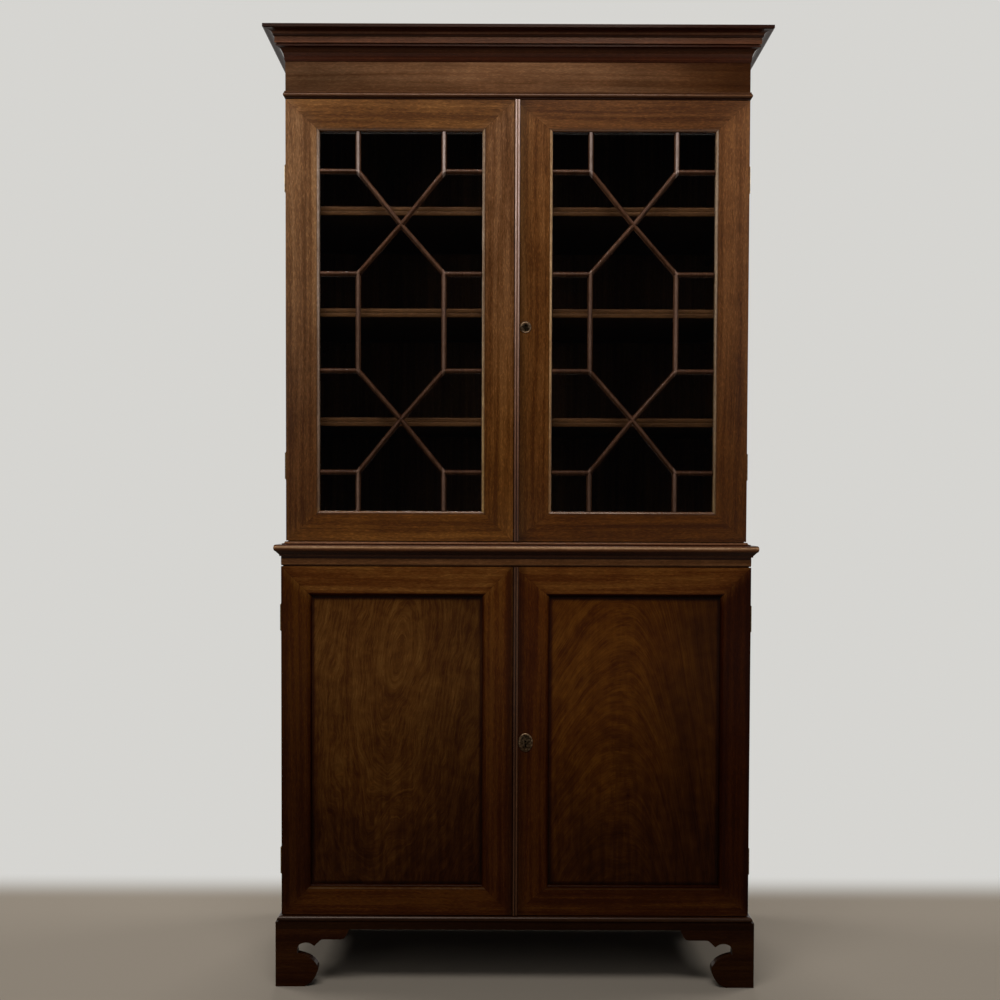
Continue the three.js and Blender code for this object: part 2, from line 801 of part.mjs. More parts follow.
// The frieze board fills the front over the doors; its lip behind is their stop
function frieze() {
  const face = upperCaseFront;
  const board = outline([[upperFront, beadBottom], [face, beadBottom], [face, upperSideTop],
    [upperFront, upperSideTop]]);
  const lipTop = beadBottom + doorStopLap;
  const lipBottom = upperDoorTop - doorStopLap;
  const lipBack = face + doorStopDepth;
  const rebated = outline([[upperFront, beadBottom], [face, beadBottom], [face, lipBottom],
    [lipBack, lipBottom], [lipBack, lipTop], [upperFront, lipTop]]);
  const reach = upperHalf - sideThickness - touchGap;
  const solid = toSolid(alongX(board, -upperHalf, upperHalf)).add(toSolid(alongX(rebated, -reach, reach)));
  return toGeometry(solid.subtract(flushStrike(upperStage)));
}

// The cupboard's top board covers its sides and comes forward over the doors, with a quirk
// under its front edge
function lowerTopBoard() {
  const quirkY = lowerFront + topBoardQuirk;
  const quirkZ = lowerTopBottom + topBoardQuirk;
  const board = alongX(outline([[quirkY, lowerTopBottom], [quirkY, quirkZ], [lowerFront, quirkZ],
    [lowerFront, lowerTop], [back, lowerTop], [back, lowerTopBottom]]), -lowerHalf, lowerHalf);
  return toGeometry(toSolid(board).subtract(flushStrike(lowerStage)));
}

// The cornice, as shares of its reach and height: a flat, a cove, a fillet over it, a corona
// behind a quirk, a small ovolo and a second cove under the top edge
function corniceProfile() {
  const at = ([a, b]) => [a * corniceReach, friezeTop + b * corniceHeight];
  const plumbShares = [[0.02, 0], [0.045, 0.066]];
  const lowerCoveShares = [[0.045, 0.066], [0.386, 0.42]];
  const filletShares = [[0.42, 0.42], [0.42, 0.478], [0.37, 0.49], [0.37, 0.505]];
  const coronaShares = [[0.477, 0.512], [0.477, 0.703]];
  const ovoloShares = [[0.49, 0.715], [0.557, 0.806]];
  const upperCoveShares = [[0.58, 0.815], [0.864, 0.879]];
  const edgeShares = [[0.94, 0.879], [1, 0.9], [1, 1]];
  return profileOf(
    plumbShares.map(at),
    quarter(...lowerCoveShares.map(at), true),
    filletShares.map(at),
    coronaShares.map(at),
    quarter(...ovoloShares.map(at), false),
    quarter(...upperCoveShares.map(at), true),
    edgeShares.map(at),
  );
}

function cornice() {
  return surround({
    half: upperHalf,
    front: upperFront,
    innerHalf: upperHalf + touchGap,
    innerFront: upperFront - touchGap,
    profile: corniceProfile(),
  });
}

// The bead at the frieze's foot: a quirk, a half round and a fillet
function friezeBead() {
  const low = beadBottom + friezeBeadQuirk;
  const top = beadBottom + beadHeight;
  const high = top - friezeBeadFillet;
  const base = 3 * touchGap;
  return surround({
    half: upperHalf,
    front: upperFront,
    innerHalf: upperHalf + touchGap,
    innerFront: upperFront - touchGap,
    profile: profileOf([[base, beadBottom]], halfRound(friezeBeadReach, base, low, high, 2 * curveSteps),
      [[friezeBeadReach / 2, high], [friezeBeadReach / 2, top]]),
  });
}

// The waist moulding lies on the cupboard top and rings the foot of the upper case: a plain
// band, a fillet, a slope, a rounded nose, and a fillet and a cove set back on top
function waistMoulding() {
  const footLow = lowerTop + waistBandHeight;
  const footHigh = footLow + waistFootHeight;
  const noseFoot = footHigh + waistSlopeHeight;
  const noseHead = noseFoot + waistNoseHeight;
  const ledge = waistLedgeReach - upperInset;
  const ledgeTop = noseHead + waistLedgeHeight;
  return surround({
    half: lowerHalf,
    front: lowerFront,
    innerHalf: upperHalf + touchGap,
    innerFront: upperCaseFront - touchGap,
    profile: profileOf(
      [[0, lowerTop], [0, footLow], [waistFootReach, footLow], [waistFootReach, footHigh]],
      halfRound(waistReach, waistNoseBase, noseFoot, noseHead, 2 * curveSteps),
      [[ledge, noseHead], [ledge, ledgeTop]],
      quarter([ledge - waistHeadStep, ledgeTop], [waistHeadReach - upperInset, waistTop], false),
    ),
  });
}

// The plinth moulding: a quirk on the rail's top, a lip and a cove that dies under the doors
function plinthMoulding() {
  const quirkTop = plinthRailTop + plinthMouldQuirk;
  const lipTop = quirkTop + plinthMouldLip;
  const neck = plinthMouldReach - plinthMouldQuirk;
  return surround({
    half: lowerHalf,
    front: lowerFront,
    innerHalf: lowerHalf + touchGap,
    innerFront: lowerCaseFront - touchGap,
    profile: profileOf(
      [[neck, plinthRailTop], [neck, quirkTop], [plinthMouldReach, quirkTop]],
      quarter([plinthMouldReach, lipTop], [plinthMouldLip, plinthTop], true),
    ),
  });
}

function plinthRail() {
  const inset = plinthRailThickness - plinthReach;
  return surround({
    half: lowerHalf,
    front: lowerFront,
    innerHalf: lowerHalf - inset,
    innerFront: lowerCaseFront + inset,
    profile: profileOf([[plinthReach, footHeight], [plinthReach, plinthRailTop]]),
  });
}

// The bracket outline, as shares of its width and height from the outer toe: a bold lobe,
// a hooked eye, a cusp and a long shallow arch that dies into the rail
const toeShare = 0.38;
const lobeShares = [
  [0.47, 0.062], [0.522, 0.132], [0.565, 0.234], [0.578, 0.323], [0.565, 0.379], [0.514, 0.456],
  [0.426, 0.523], [0.299, 0.572],
];
const eyeShares = [
  [0.295, 0.645], [0.321, 0.726], [0.39, 0.763], [0.452, 0.759], [0.495, 0.736], [0.527, 0.706],
];
const archShares = [
  [0.565, 0.751], [0.61, 0.802], [0.66, 0.824], [0.9, 0.824], [0.951, 0.868], [0.984, 0.935], [1, 1],
];

function bracketOutline(start, way, width) {
  const at = ([a, b]) => new THREE.Vector2(start + way * a * width, b * footHeight);
  const shape = new THREE.Shape();
  shape.moveTo(start, 0);
  shape.lineTo(start + way * toeShare * width, 0);
  shape.splineThru(lobeShares.map(at));
  shape.splineThru(eyeShares.map(at));
  shape.splineThru(archShares.map(at));
  shape.lineTo(start, footHeight);
  return shape;
}

// A splined outline with few points, in place of the extruder's own count
function thinned(shape) {
  return new THREE.Shape(shape.getPoints(outlineSteps));
}

function frontFoot(side) {
  const corner = side * (lowerHalf + plinthReach);
  const face = lowerFront - plinthReach;
  const front = alongY(thinned(bracketOutline(corner, -side, footWidth)), face, face + footThickness);
  const flank = alongX(thinned(bracketOutline(face, 1, footSideWidth)),
    Math.min(corner, corner - side * footThickness), Math.max(corner, corner - side * footThickness));
  return toGeometry(toSolid(front).add(toSolid(flank)));
}

function backFoot(side) {
  const corner = side * (lowerHalf + plinthReach);
  const flank = alongX(thinned(bracketOutline(back, -1, footSideWidth)),
    Math.min(corner, corner - side * footThickness), Math.max(corner, corner - side * footThickness));
  const toe = corner - side * backBracketToe;
  const tip = corner - side * backBracketWidth;
  const shape = new THREE.Shape();
  shape.moveTo(corner, 0);
  shape.lineTo(toe, 0);
  shape.quadraticCurveTo(toe, backBendShare * footHeight, tip, footHeight);
  shape.lineTo(corner, footHeight);
  const rear = alongY(shape, back - footThickness, back);
  return toGeometry(toSolid(flank).add(toSolid(rear)));
}

// Materials
function finish(color, roughness, metalness = 0, opacity = 1) {
  return new THREE.MeshStandardMaterial({
    color, roughness, metalness, opacity, transparent: opacity < 1,
  });
}

const frameWood = () => finish(0x5b3a1f, 0.42);
const caseWood = () => finish(0x4a2a17, 0.45);
const mouldWood = () => finish(0x4f2f1c, 0.4);
const panelWood = () => finish(0x3a1c0e, 0.38);
const innerWood = () => finish(0x3d2a1c, 0.6);
const backWood = () => finish(0x5a4630, 0.75);
const brass = () => finish(0x8a6b3c, 0.35, 1);
const glass = () => finish(0x9fb0ac, 0.05, 0, 0.3);

const bookcase = new THREE.Group();

function place(name, geometry, material, into = bookcase) {
  const mesh = new THREE.Mesh(geometry, material);
  mesh.name = name;
  into.add(mesh);
}

function addUpperCase() {
  const z0 = lowerTop;
  for (const [name, side] of [["left", -1], ["right", 1]]) {
    place(`upper_side_${name}`, caseSide(side, upperHalf, upperCaseFront, z0, upperSideTop, upperStage,
      upperGrooves), caseWood());
  }
  place("upper_bottom_board", betweenSides(upperHalf, upperCaseFront, upperFloorBottom, upperFloorTop),
    innerWood());
  place("upper_top_board", betweenSides(upperHalf, upperCaseFront, upperSideTop - upperTopThickness,
    upperSideTop), innerWood());
  place("upper_back", backPanel(upperHalf, z0, upperSideTop), backWood());
  for (const [name, height] of Object.entries(shelfHeights)) {
    place(name, shelf(upperHalf, upperCaseFront, height, shelfSetback), innerWood());
  }
  place("frieze", frieze(), frameWood());
  place("frieze_bead", friezeBead(), mouldWood());
  place("cornice", cornice(), mouldWood());
}

function addLowerCase() {
  for (const [name, side] of [["left", -1], ["right", 1]]) {
    place(`lower_side_${name}`, caseSide(side, lowerHalf, lowerCaseFront, plinthRailTop, lowerTopBottom,
      lowerStage, [lowerShelfHeight]), caseWood());
  }
  place("lower_bottom_board", betweenSides(lowerHalf, lowerCaseFront, lowerFloorBottom, lowerFloorTop),
    innerWood());
  place("lower_top_board", lowerTopBoard(), mouldWood());
  place("lower_back", backPanel(lowerHalf, plinthRailTop, lowerTopBottom), backWood());
  place("lower_shelf", shelf(lowerHalf, lowerCaseFront, lowerShelfHeight, lowerShelfSetback), innerWood());
  place("waist_moulding", waistMoulding(), mouldWood());
  place("plinth_moulding", plinthMoulding(), mouldWood());
  place("plinth_rail", plinthRail(), caseWood());
  for (const [name, side] of [["left", -1], ["right", 1]]) {
    place(`foot_front_${name}`, frontFoot(side), caseWood());
    place(`foot_back_${name}`, backFoot(side), caseWood());
  }
}

function addHinges(door) {
  for (const [end, z] of Object.entries(door.stage.hingeZs)) {
    for (const [leaf, onDoor] of [["case", false], ["door", true]]) {
      place(`${door.name}_hinge_${end}_${leaf}_leaf`,
        toGeometry(hingeLeaf(door.stage, door.side, z, onDoor)), brass());
    }
  }
}

function addMeetingWork(door, stretch) {
  place(`${door.name}_meeting_bead`, meetingBead(door.stage), mouldWood());
  place(`${door.name}_escutcheon`, escutcheon(door.stage, stretch), brass());
  place(`${door.name}_lock`, toGeometry(lockSolid(door.stage)), brass());
  place(`${door.name}_lock_bolt`, lockBolt(door.stage), brass());
}

function addDoors() {
  for (const door of Object.values(doors)) {
    const upper = door.stage === upperStage;
    place(`${door.name}_frame`, doorFrame(door, upper ? glazedSection() : panelledSection()), frameWood());
    if (upper) {
      place(`${door.name}_glazing_bars`, glazingBars(door), mouldWood());
      place(`${door.name}_glass`, glassSheet(door), glass());
    } else {
      place(`${door.name}_panel`, doorPanel(door), panelWood());
    }
    addHinges(door);
    if (door.side > 0) {
      addMeetingWork(door, upper ? 1 : lowerEscutcheonStretch);
    } else {
      place(`${door.name}_flush_bolt`, flushBolt(door.stage), brass());
    }
  }
}

addUpperCase();
addLowerCase();
addDoors();

export default bookcase;
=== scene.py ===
import math

import bpy
from mathutils import Matrix, Vector


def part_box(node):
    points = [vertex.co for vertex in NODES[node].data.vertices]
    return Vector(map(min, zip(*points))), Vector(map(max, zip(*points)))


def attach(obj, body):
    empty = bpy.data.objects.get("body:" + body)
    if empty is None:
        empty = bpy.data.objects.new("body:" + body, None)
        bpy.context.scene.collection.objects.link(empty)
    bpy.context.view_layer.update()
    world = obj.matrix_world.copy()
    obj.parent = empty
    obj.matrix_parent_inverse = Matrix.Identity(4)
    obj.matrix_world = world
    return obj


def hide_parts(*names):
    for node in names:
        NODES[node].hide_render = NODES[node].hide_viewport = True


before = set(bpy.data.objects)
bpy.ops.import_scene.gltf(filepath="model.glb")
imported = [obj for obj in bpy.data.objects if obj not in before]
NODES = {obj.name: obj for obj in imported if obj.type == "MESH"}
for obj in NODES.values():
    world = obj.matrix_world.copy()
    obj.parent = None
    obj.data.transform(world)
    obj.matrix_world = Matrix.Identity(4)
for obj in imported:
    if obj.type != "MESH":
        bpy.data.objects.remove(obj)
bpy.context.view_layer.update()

DOOR_NAMES = ("upper_door_left", "upper_door_right", "lower_door_left", "lower_door_right")
UPPER_DOORS = DOOR_NAMES[:2]
LOWER_DOORS = DOOR_NAMES[2:]

# Axes of a place
ACROSS, DEEP, UP = range(3)

# Tint that changes nothing
PLAIN = (1.0, 1.0, 1.0)

# How much faster than red the green and blue fall where light is painted in: redder in painted shade, paler
# in painted highlights
GREEN_POWER = 1.35
BLUE_POWER = 1.65


class Graph:
    """Adds and links the nodes of one material or world."""

    def __init__(self, tree):
        self.tree = tree

    def add(self, kind, **settings):
        node = self.tree.nodes.new(kind)
        for name, value in settings.items():
            setattr(node, name, value)
        return node

    def feed(self, socket, value):
        """Links another node's output to a socket, or sets the socket to a plain value."""
        if isinstance(value, bpy.types.NodeSocket):
            self.tree.links.new(value, socket)
        else:
            socket.default_value = value

    def maths(self, operation, *values, clamp=False):
        node = self.add("ShaderNodeMath", operation=operation, use_clamp=clamp)
        for socket, value in zip(node.inputs, values):
            self.feed(socket, value)
        return node.outputs[0]

    def vector(self, operation, a, b):
        node = self.add("ShaderNodeVectorMath", operation=operation)
        self.feed(node.inputs[0], a)
        self.feed(node.inputs[1], b)
        return node.outputs[0]

    def split(self, vector):
        node = self.add("ShaderNodeSeparateXYZ")
        self.feed(node.inputs[0], vector)
        return node.outputs[0], node.outputs[1], node.outputs[2]

    def join(self, x, y, z):
        node = self.add("ShaderNodeCombineXYZ")
        for socket, value in zip(node.inputs, (x, y, z)):
            self.feed(socket, value)
        return node.outputs[0]

    def noise(self, vector, detail=2.0, roughness=0.5):
        node = self.add("ShaderNodeTexNoise")
        self.feed(node.inputs["Vector"], vector)
        node.inputs["Scale"].default_value = 1.0
        node.inputs["Detail"].default_value = detail
        node.inputs["Roughness"].default_value = roughness
        return node.outputs["Fac"]

    def ramp(self, factor, stops):
        node = self.add("ShaderNodeValToRGB")
        elements = node.color_ramp.elements
        for place, tone in stops[1:-1]:
            elements.new(place)
        for element, (place, tone) in zip(elements, stops):
            element.position = place
            element.color = (*tone, 1.0)
        self.feed(node.inputs[0], factor)
        return node.outputs[0]

    def fade(self, value, low, high, out_low=0.0, out_high=1.0):
        """A smooth step of a value between two levels."""
        node = self.add("ShaderNodeMapRange", interpolation_type="SMOOTHSTEP")
        for socket, given in zip(node.inputs, (value, low, high, out_low, out_high)):
            self.feed(socket, given)
        return node.outputs[0]

    def mix(self, factor, a, b, kind="RGBA"):
        node = self.add("ShaderNodeMix", data_type=kind)
        first, result = {"FLOAT": (2, 0), "VECTOR": (4, 1), "RGBA": (6, 2)}[kind]
        self.feed(node.inputs[0], factor)
        self.feed(node.inputs[first], (*a, 1.0) if kind == "RGBA" and isinstance(a, tuple) else a)
        self.feed(node.inputs[first + 1], (*b, 1.0) if kind == "RGBA" and isinstance(b, tuple) else b)
        return node.outputs[result]

    def tint(self, colour, amount):
        """A colour times a level or another colour."""
        return self.vector("MULTIPLY", colour, amount)

    def deepen(self, level):
        """A level as a tint, redder below 1 and paler above it; mostly it carries painted shade and painted
        highlights.
        """
        green = self.maths("POWER", level, GREEN_POWER)
        blue = self.maths("POWER", level, BLUE_POWER)
        return self.join(level, green, blue)

    def away(self, value, place):
        """How far a value is from a place, on either side."""
        return self.maths("ABSOLUTE", self.maths("SUBTRACT", value, place))

    def length(self, across, up):
        """Length of a line that runs so far across and so far up."""
        return self.maths("SQRT", self.maths("MULTIPLY_ADD", across, across, self.maths("MULTIPLY", up, up)))

    def place(self):
        return self.add("ShaderNodeTexCoord").outputs["Object"]


def new_material(name):
    """A material with only an output and a Principled shader, which the caller feeds."""
    material = bpy.data.materials.new(name)
    material.use_nodes = True
    graph = Graph(material.node_tree)
    shader = next(n for n in material.node_tree.nodes if n.type == "BSDF_PRINCIPLED")
    return material, graph, shader


def mix_output(material, g, share, first, second):
    """Ends a material in a mix of two shaders."""
    choice = g.add("ShaderNodeMixShader")
    g.feed(choice.inputs[0], share)
    g.feed(choice.inputs[1], first.outputs[0])
    g.feed(choice.inputs[2], second.outputs[0])
    output = next(n for n in material.node_tree.nodes if n.type == "OUTPUT_MATERIAL")
    g.feed(output.inputs[0], choice.outputs[0])


def paint(node_name, material):
    """Gives a CAD node's object one material."""
    slots = NODES[node_name].data.materials
    slots.clear()
    slots.append(material)


def mesh_object(name, points, faces, material):
    mesh = bpy.data.meshes.new(name)
    mesh.from_pydata(points, [], faces)
    mesh.update()
    mesh.materials.append(material)
    made = bpy.data.objects.new(name, mesh)
    bpy.context.scene.collection.objects.link(made)
    return made


def ring_faces(count):
    """Side faces between two rings of as many points each, one ring numbered after the other."""
    return [(i, i + count, (i + 1) % count + count, (i + 1) % count) for i in range(count)]


# How far the glass and the panels reach under their frames
GLASS_LAP = 0.006
PANEL_LAP = 0.008


def door_sizes(name):
    """Outer edge and opening of a door's frame, as [x, z] corners, and the front of its filling."""
    low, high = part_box(name + "_frame")
    lap, filling = (GLASS_LAP, "_glass") if name in UPPER_DOORS else (PANEL_LAP, "_panel")
    fill_low, fill_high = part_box(name + filling)
    return {
        "name": name,
        "outer": ((low.x, low.z), (high.x, high.z)),
        "opening": ((fill_low.x + lap, fill_low.z + lap), (fill_high.x - lap, fill_high.z - lap)),
        "fill_front": fill_low.y,
    }


DOORS = {name: door_sizes(name) for name in DOOR_NAMES}

# Faces that look to the side by more than this belong to a moulding's side return
SIDE_NORMAL = 0.5

# Slow errors of place: how many to a metre, how far they reach and how finely they wander
EYE_WANDER = ((11.0, 11.0, 5.0), 0.034, 3.0)
FEATHER_WANDER = ((7.0, 7.0, 5.0), 0.030, 2.0)
CLOUD_WANDER = ((9.0, 9.0, 6.0), 0.20, 3.0)

# Where the falls of the left and right half of the feathered arches pass into each other
FEATHER_MEETING = (-0.02, 0.03)

# How far the right stile's and the top rail's figure is moved on, across and along the grain
STILE_STEP = (0.7, 1.3)
RAIL_STEP = (0.9, 1.7)


# Grain directions, each a vector whose Z runs with the grain
def grain_upright(offset):
    def vector(g):
        return g.vector("ADD", g.place(), offset)
    return vector


def grain_level(offset):
    def vector(g):
        x, y, z = g.split(g.place())
        return g.vector("ADD", g.join(z, y, x), offset)
    return vector


def grain_round(offset):
    """Grain along X in front and along Y on the side returns of a moulding."""
    def vector(g):
        coordinates = g.add("ShaderNodeTexCoord")
        x, y, z = g.split(coordinates.outputs["Object"])
        facing = g.maths("ABSOLUTE", g.split(coordinates.outputs["Normal"])[ACROSS])
        on_side = g.maths("GREATER_THAN", facing, SIDE_NORMAL)
        along = g.mix(on_side, g.join(z, y, x), g.join(z, x, y), kind="VECTOR")
        return g.vector("ADD", along, offset)
    return vector


def wandering(g, frequency, reach, detail):
    """A small smooth error of place, in metres, from -reach to +reach."""
    drift = g.noise(g.vector("MULTIPLY", g.place(), frequency), detail=detail)
    return g.maths("MULTIPLY", g.maths("SUBTRACT", drift, 0.5), 2 * reach)


def grain_eyed(centre, stretch, lean, offset):
    """Tall rings about one place of a panel, leaning over as they go down."""
    def vector(g):
        x, y, z = g.split(g.place())
        up = g.maths("SUBTRACT", z, centre[1])
        across = g.maths("MULTIPLY_ADD", up, -lean, g.maths("SUBTRACT", x, centre[0]))
        reach = g.length(across, g.maths("DIVIDE", up, stretch))
        reach = g.maths("ADD", reach, wandering(g, *EYE_WANDER))
        return g.vector("ADD", g.join(reach, y, z), offset)
    return vector


def grain_feathered(axis, left_fall, right_fall, offset):
    """Arches stacked over one another about an upright axis, each side with its own fall."""
    def vector(g):
        x, y, z = g.split(g.place())
        across = g.maths("SUBTRACT", x, axis)
        fall = g.mix(g.fade(across, *FEATHER_MEETING), left_fall, right_fall, kind="FLOAT")
        drop = g.maths("MULTIPLY", fall, g.maths("MULTIPLY", across, across))
        arch = g.maths("ADD", g.maths("ADD", z, drop), wandering(g, *FEATHER_WANDER))
        return g.vector("ADD", g.join(arch, y, x), offset)
    return vector


def mitre_value(g, door):
    """Above 0 on a mitred frame's rails and below 0 on its stiles."""
    (x0, z0), (x1, z1) = door["outer"]
    (a0, c0), (a1, c1) = door["opening"]
    x, _, z = g.split(g.place())

    def beyond(value, low, high, low_width, high_width):
        under = g.maths("DIVIDE", g.maths("SUBTRACT", low, value), low_width)
        above = g.maths("DIVIDE", g.maths("SUBTRACT", value, high), high_width)
        return g.maths("MAXIMUM", under, above)

    across = beyond(x, a0, a1, a0 - x0, x1 - a1)
    up = beyond(z, c0, c1, c0 - z0, z1 - c1)
    return g.maths("SUBTRACT", up, across)


def grain_mitred(door, offset):
    """Upright grain on the stiles and level grain on the rails, each piece from its own board."""
    (x0, z0), (x1, z1) = door["opening"]

    def vector(g):
        x, y, z = g.split(g.place())
        on_rail = g.maths("GREATER_THAN", mitre_value(g, door), 0.0)
        right = g.maths("GREATER_THAN", x, (x0 + x1) / 2)
        high = g.maths("GREATER_THAN", z, (z0 + z1) / 2)
        stile = g.join(g.maths("MULTIPLY_ADD", right, STILE_STEP[0], x), y,
                       g.maths("MULTIPLY_ADD", right, STILE_STEP[1], z))
        rail = g.join(g.maths("MULTIPLY_ADD", high, RAIL_STEP[0], z), y,
                      g.maths("MULTIPLY_ADD", high, RAIL_STEP[1], x))
        return g.vector("ADD", g.mix(on_rail, stile, rail, kind="VECTOR"), offset)
    return vector


# Layers of figure: how many to a metre across and along the grain, and the share of each
PLAIN_LAYERS = ((28.0, 0.6, 0.34), (105.0, 2.4, 0.32), (320.0, 36.0, 0.16), (700.0, 90.0, 0.18))
EYE_LAYERS = ((26.0, 1.5, 0.18), (70.0, 3.0, 0.16), (210.0, 8.0, 0.32), (560.0, 40.0, 0.34))
FEATHER_LAYERS = ((18.0, 6.0, 0.24), (60.0, 12.0, 0.30), (150.0, 24.0, 0.28), (420.0, 70.0, 0.18))
LAYER_ROUGHNESS = 0.55

# The drift that bends all layers, and the fine flecks, as numbers to a metre with Z along the grain
DRIFT = (3.0, 3.0, 1.1)
FLECKS = (520.0, 520.0, 110.0)

# Noise levels between which a fleck comes out, and how deep it is
FLECK_REACH = (0.52, 0.66)
FLECK_BUMP = 0.10
FLECK_DEPTH = 0.0003

# Colour of the light that polish mirrors
POLISH_TINT = (1.0, 0.80, 0.66)


def figure(g, along, layers, warp, mottle, mottle_share):
    """How light the wood is from place to place, about 0.35 to 0.65, and its fine flecks."""
    drift = g.noise(g.vector("MULTIPLY", along, DRIFT), detail=1.0)
    bend = g.maths("MULTIPLY", g.maths("SUBTRACT", drift, 0.5), 2 * warp)
    bent = g.vector("ADD", along, g.join(bend, 0.0, 0.0))
    total = 0.0
    for across, length, share in layers:
        frequency = (across, across, length)
        layer = g.noise(g.vector("MULTIPLY", bent, frequency), detail=2.0, roughness=LAYER_ROUGHNESS)
        total = g.maths("MULTIPLY_ADD", layer, share, total)
    clouds = g.noise(g.vector("MULTIPLY", g.place(), (mottle, mottle, mottle)), detail=3.0)
    total = g.mix(mottle_share, total, clouds, kind="FLOAT")
    flecks = g.noise(g.vector("MULTIPLY", bent, FLECKS), detail=1.0)
    return total, flecks


def wood(name, tones, grain, roughness=0.24, sheen=0.12, layers=PLAIN_LAYERS, warp=0.012, mottle=14.0,
         mottle_share=0.10, tone_width=0.16, fleck_light=0.30, shade=None):
    """Polished wood. The tones run from dark to light, and shade tints them by place. Roughness and
    sheen are plain numbers or, like shade, functions that add nodes to the graph."""
    material, g, shader = new_material(name)
    level, flecks = figure(g, grain(g), layers, warp, mottle, mottle_share)
    low = 0.5 - tone_width / 2
    step = tone_width / (len(tones) - 1)
    colour = g.ramp(level, [(low + step * i, tone) for i, tone in enumerate(tones)])
    colour = g.tint(colour, g.fade(flecks, *FLECK_REACH, 1.0, 1.0 + fleck_light))
    if shade is not None:
        colour = g.tint(colour, shade(g))
    g.feed(shader.inputs["Base Color"], colour)
    g.feed(shader.inputs["Roughness"], roughness(g) if callable(roughness) else roughness)
    g.feed(shader.inputs["Specular IOR Level"], sheen(g) if callable(sheen) else sheen)
    shader.inputs["Specular Tint"].default_value = (*POLISH_TINT, 1.0)
    bump = g.add("ShaderNodeBump")
    bump.inputs["Strength"].default_value = FLECK_BUMP
    bump.inputs["Distance"].default_value = FLECK_DEPTH
    g.feed(bump.inputs["Height"], flecks)
    g.feed(shader.inputs["Normal"], bump.outputs[0])
    return material


def shade_by_height(low, high, foot_share, share=1.0):
    """Painted shade, darker towards the foot, where less light falls."""
    def shade(g):
        z = g.split(g.place())[UP]
        return g.fade(z, low, high, foot_share * share, share)
    return shade


def levels(g, value, stops):
    """A level that runs straight between stops of a value and its level, both from low to high."""
    low, high = stops[0][0], stops[-1][0]
    most = max(level for _, level in stops)
    share = g.maths("DIVIDE", g.maths("SUBTRACT", value, low), high - low)
    ramp = g.ramp(share, [((place - low) / (high - low), (level / most,) * 3) for place, level in stops])
    return g.maths("MULTIPLY", ramp, most)


def shade_by_levels(stops, axis=UP):
    """Lighter and darker along one axis; across, it is alike on both sides of the middle."""
    def shade(g):
        value = g.split(g.place())[axis]
        if axis == ACROSS:
            value = g.maths("ABSOLUTE", value)
        return g.deepen(levels(g, value, stops))
    return shade


def from_box(name, stops, axis=UP):
    """Stops measured from a piece's foot, or from its front, as places in the frame."""
    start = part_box(name)[0][axis]
    return [(start + place, level) for place, level in stops]


def both(first, second):
    """Two tints one over the other."""
    def shade(g):
        return g.tint(first(g), second(g))
    return shade


def edge_distance(g, low, high):
    """How far a place lies inside a rectangle of the front; below 0 outside it."""
    x, _, z = g.split(g.place())
    gaps = [g.maths("SUBTRACT", x, low[0]), g.maths("SUBTRACT", high[0], x),
            g.maths("SUBTRACT", z, low[1]), g.maths("SUBTRACT", high[1], z)]
    across = g.maths("MINIMUM", gaps[0], gaps[1])
    return g.maths("MINIMUM", across, g.maths("MINIMUM", gaps[2], gaps[3]))


# Woods' tones from dark to light
UPPER_TONES = ((0.070, 0.0225, 0.0050), (0.104, 0.0370, 0.0090), (0.136, 0.0520, 0.0140),
               (0.180, 0.0740, 0.0215))
# The lower stage's tones are darker partly as its own tone and partly as painted light falling off towards
# the floor
LOWER_TONES = ((0.036, 0.0076, 0.0011), (0.054, 0.0138, 0.0024), (0.080, 0.0250, 0.0044))
WAIST_TONES = ((0.120, 0.0480, 0.0180), (0.180, 0.0780, 0.0320), (0.250, 0.1200, 0.0550))
STRIP_TONES = ((0.070, 0.0260, 0.0080), (0.112, 0.0440, 0.0150), (0.170, 0.0740, 0.0270))
CORNICE_TONES = ((0.075, 0.0250, 0.0105), (0.108, 0.0380, 0.0170), (0.150, 0.0560, 0.0260))
# The upper meeting bead's pale tones are partly a painted highlight on its reeds
BEAD_TONES = ((0.270, 0.1500, 0.1050), (0.350, 0.2100, 0.1500), (0.440, 0.2800, 0.2100))
LOWER_BEAD_TONES = ((0.046, 0.0150, 0.0052), (0.072, 0.0260, 0.0095), (0.104, 0.0420, 0.0170))
BAR_TONES = ((0.042, 0.0165, 0.0080), (0.064, 0.0270, 0.0140), (0.094, 0.0410, 0.0220))
FRIEZE_TONES = ((0.075, 0.0290, 0.0105), (0.110, 0.0480, 0.0195), (0.150, 0.0720, 0.0320))
SIDE_TONES = ((0.060, 0.0190, 0.0050), (0.088, 0.0310, 0.0090), (0.122, 0.0470, 0.0150))
PANEL_TONES = ((0.040, 0.0092, 0.0014), (0.074, 0.0230, 0.0038), (0.116, 0.0430, 0.0082))
INNER_TONES = ((0.010, 0.0045, 0.0020), (0.020, 0.0090, 0.0040), (0.034, 0.0160, 0.0070))
SHELF_EDGE_TONES = ((0.056, 0.0215, 0.0070), (0.088, 0.0360, 0.0130), (0.124, 0.0540, 0.0210))
BACK_TONES = ((0.110, 0.0620, 0.0300), (0.160, 0.0950, 0.0480), (0.220, 0.1380, 0.0740))

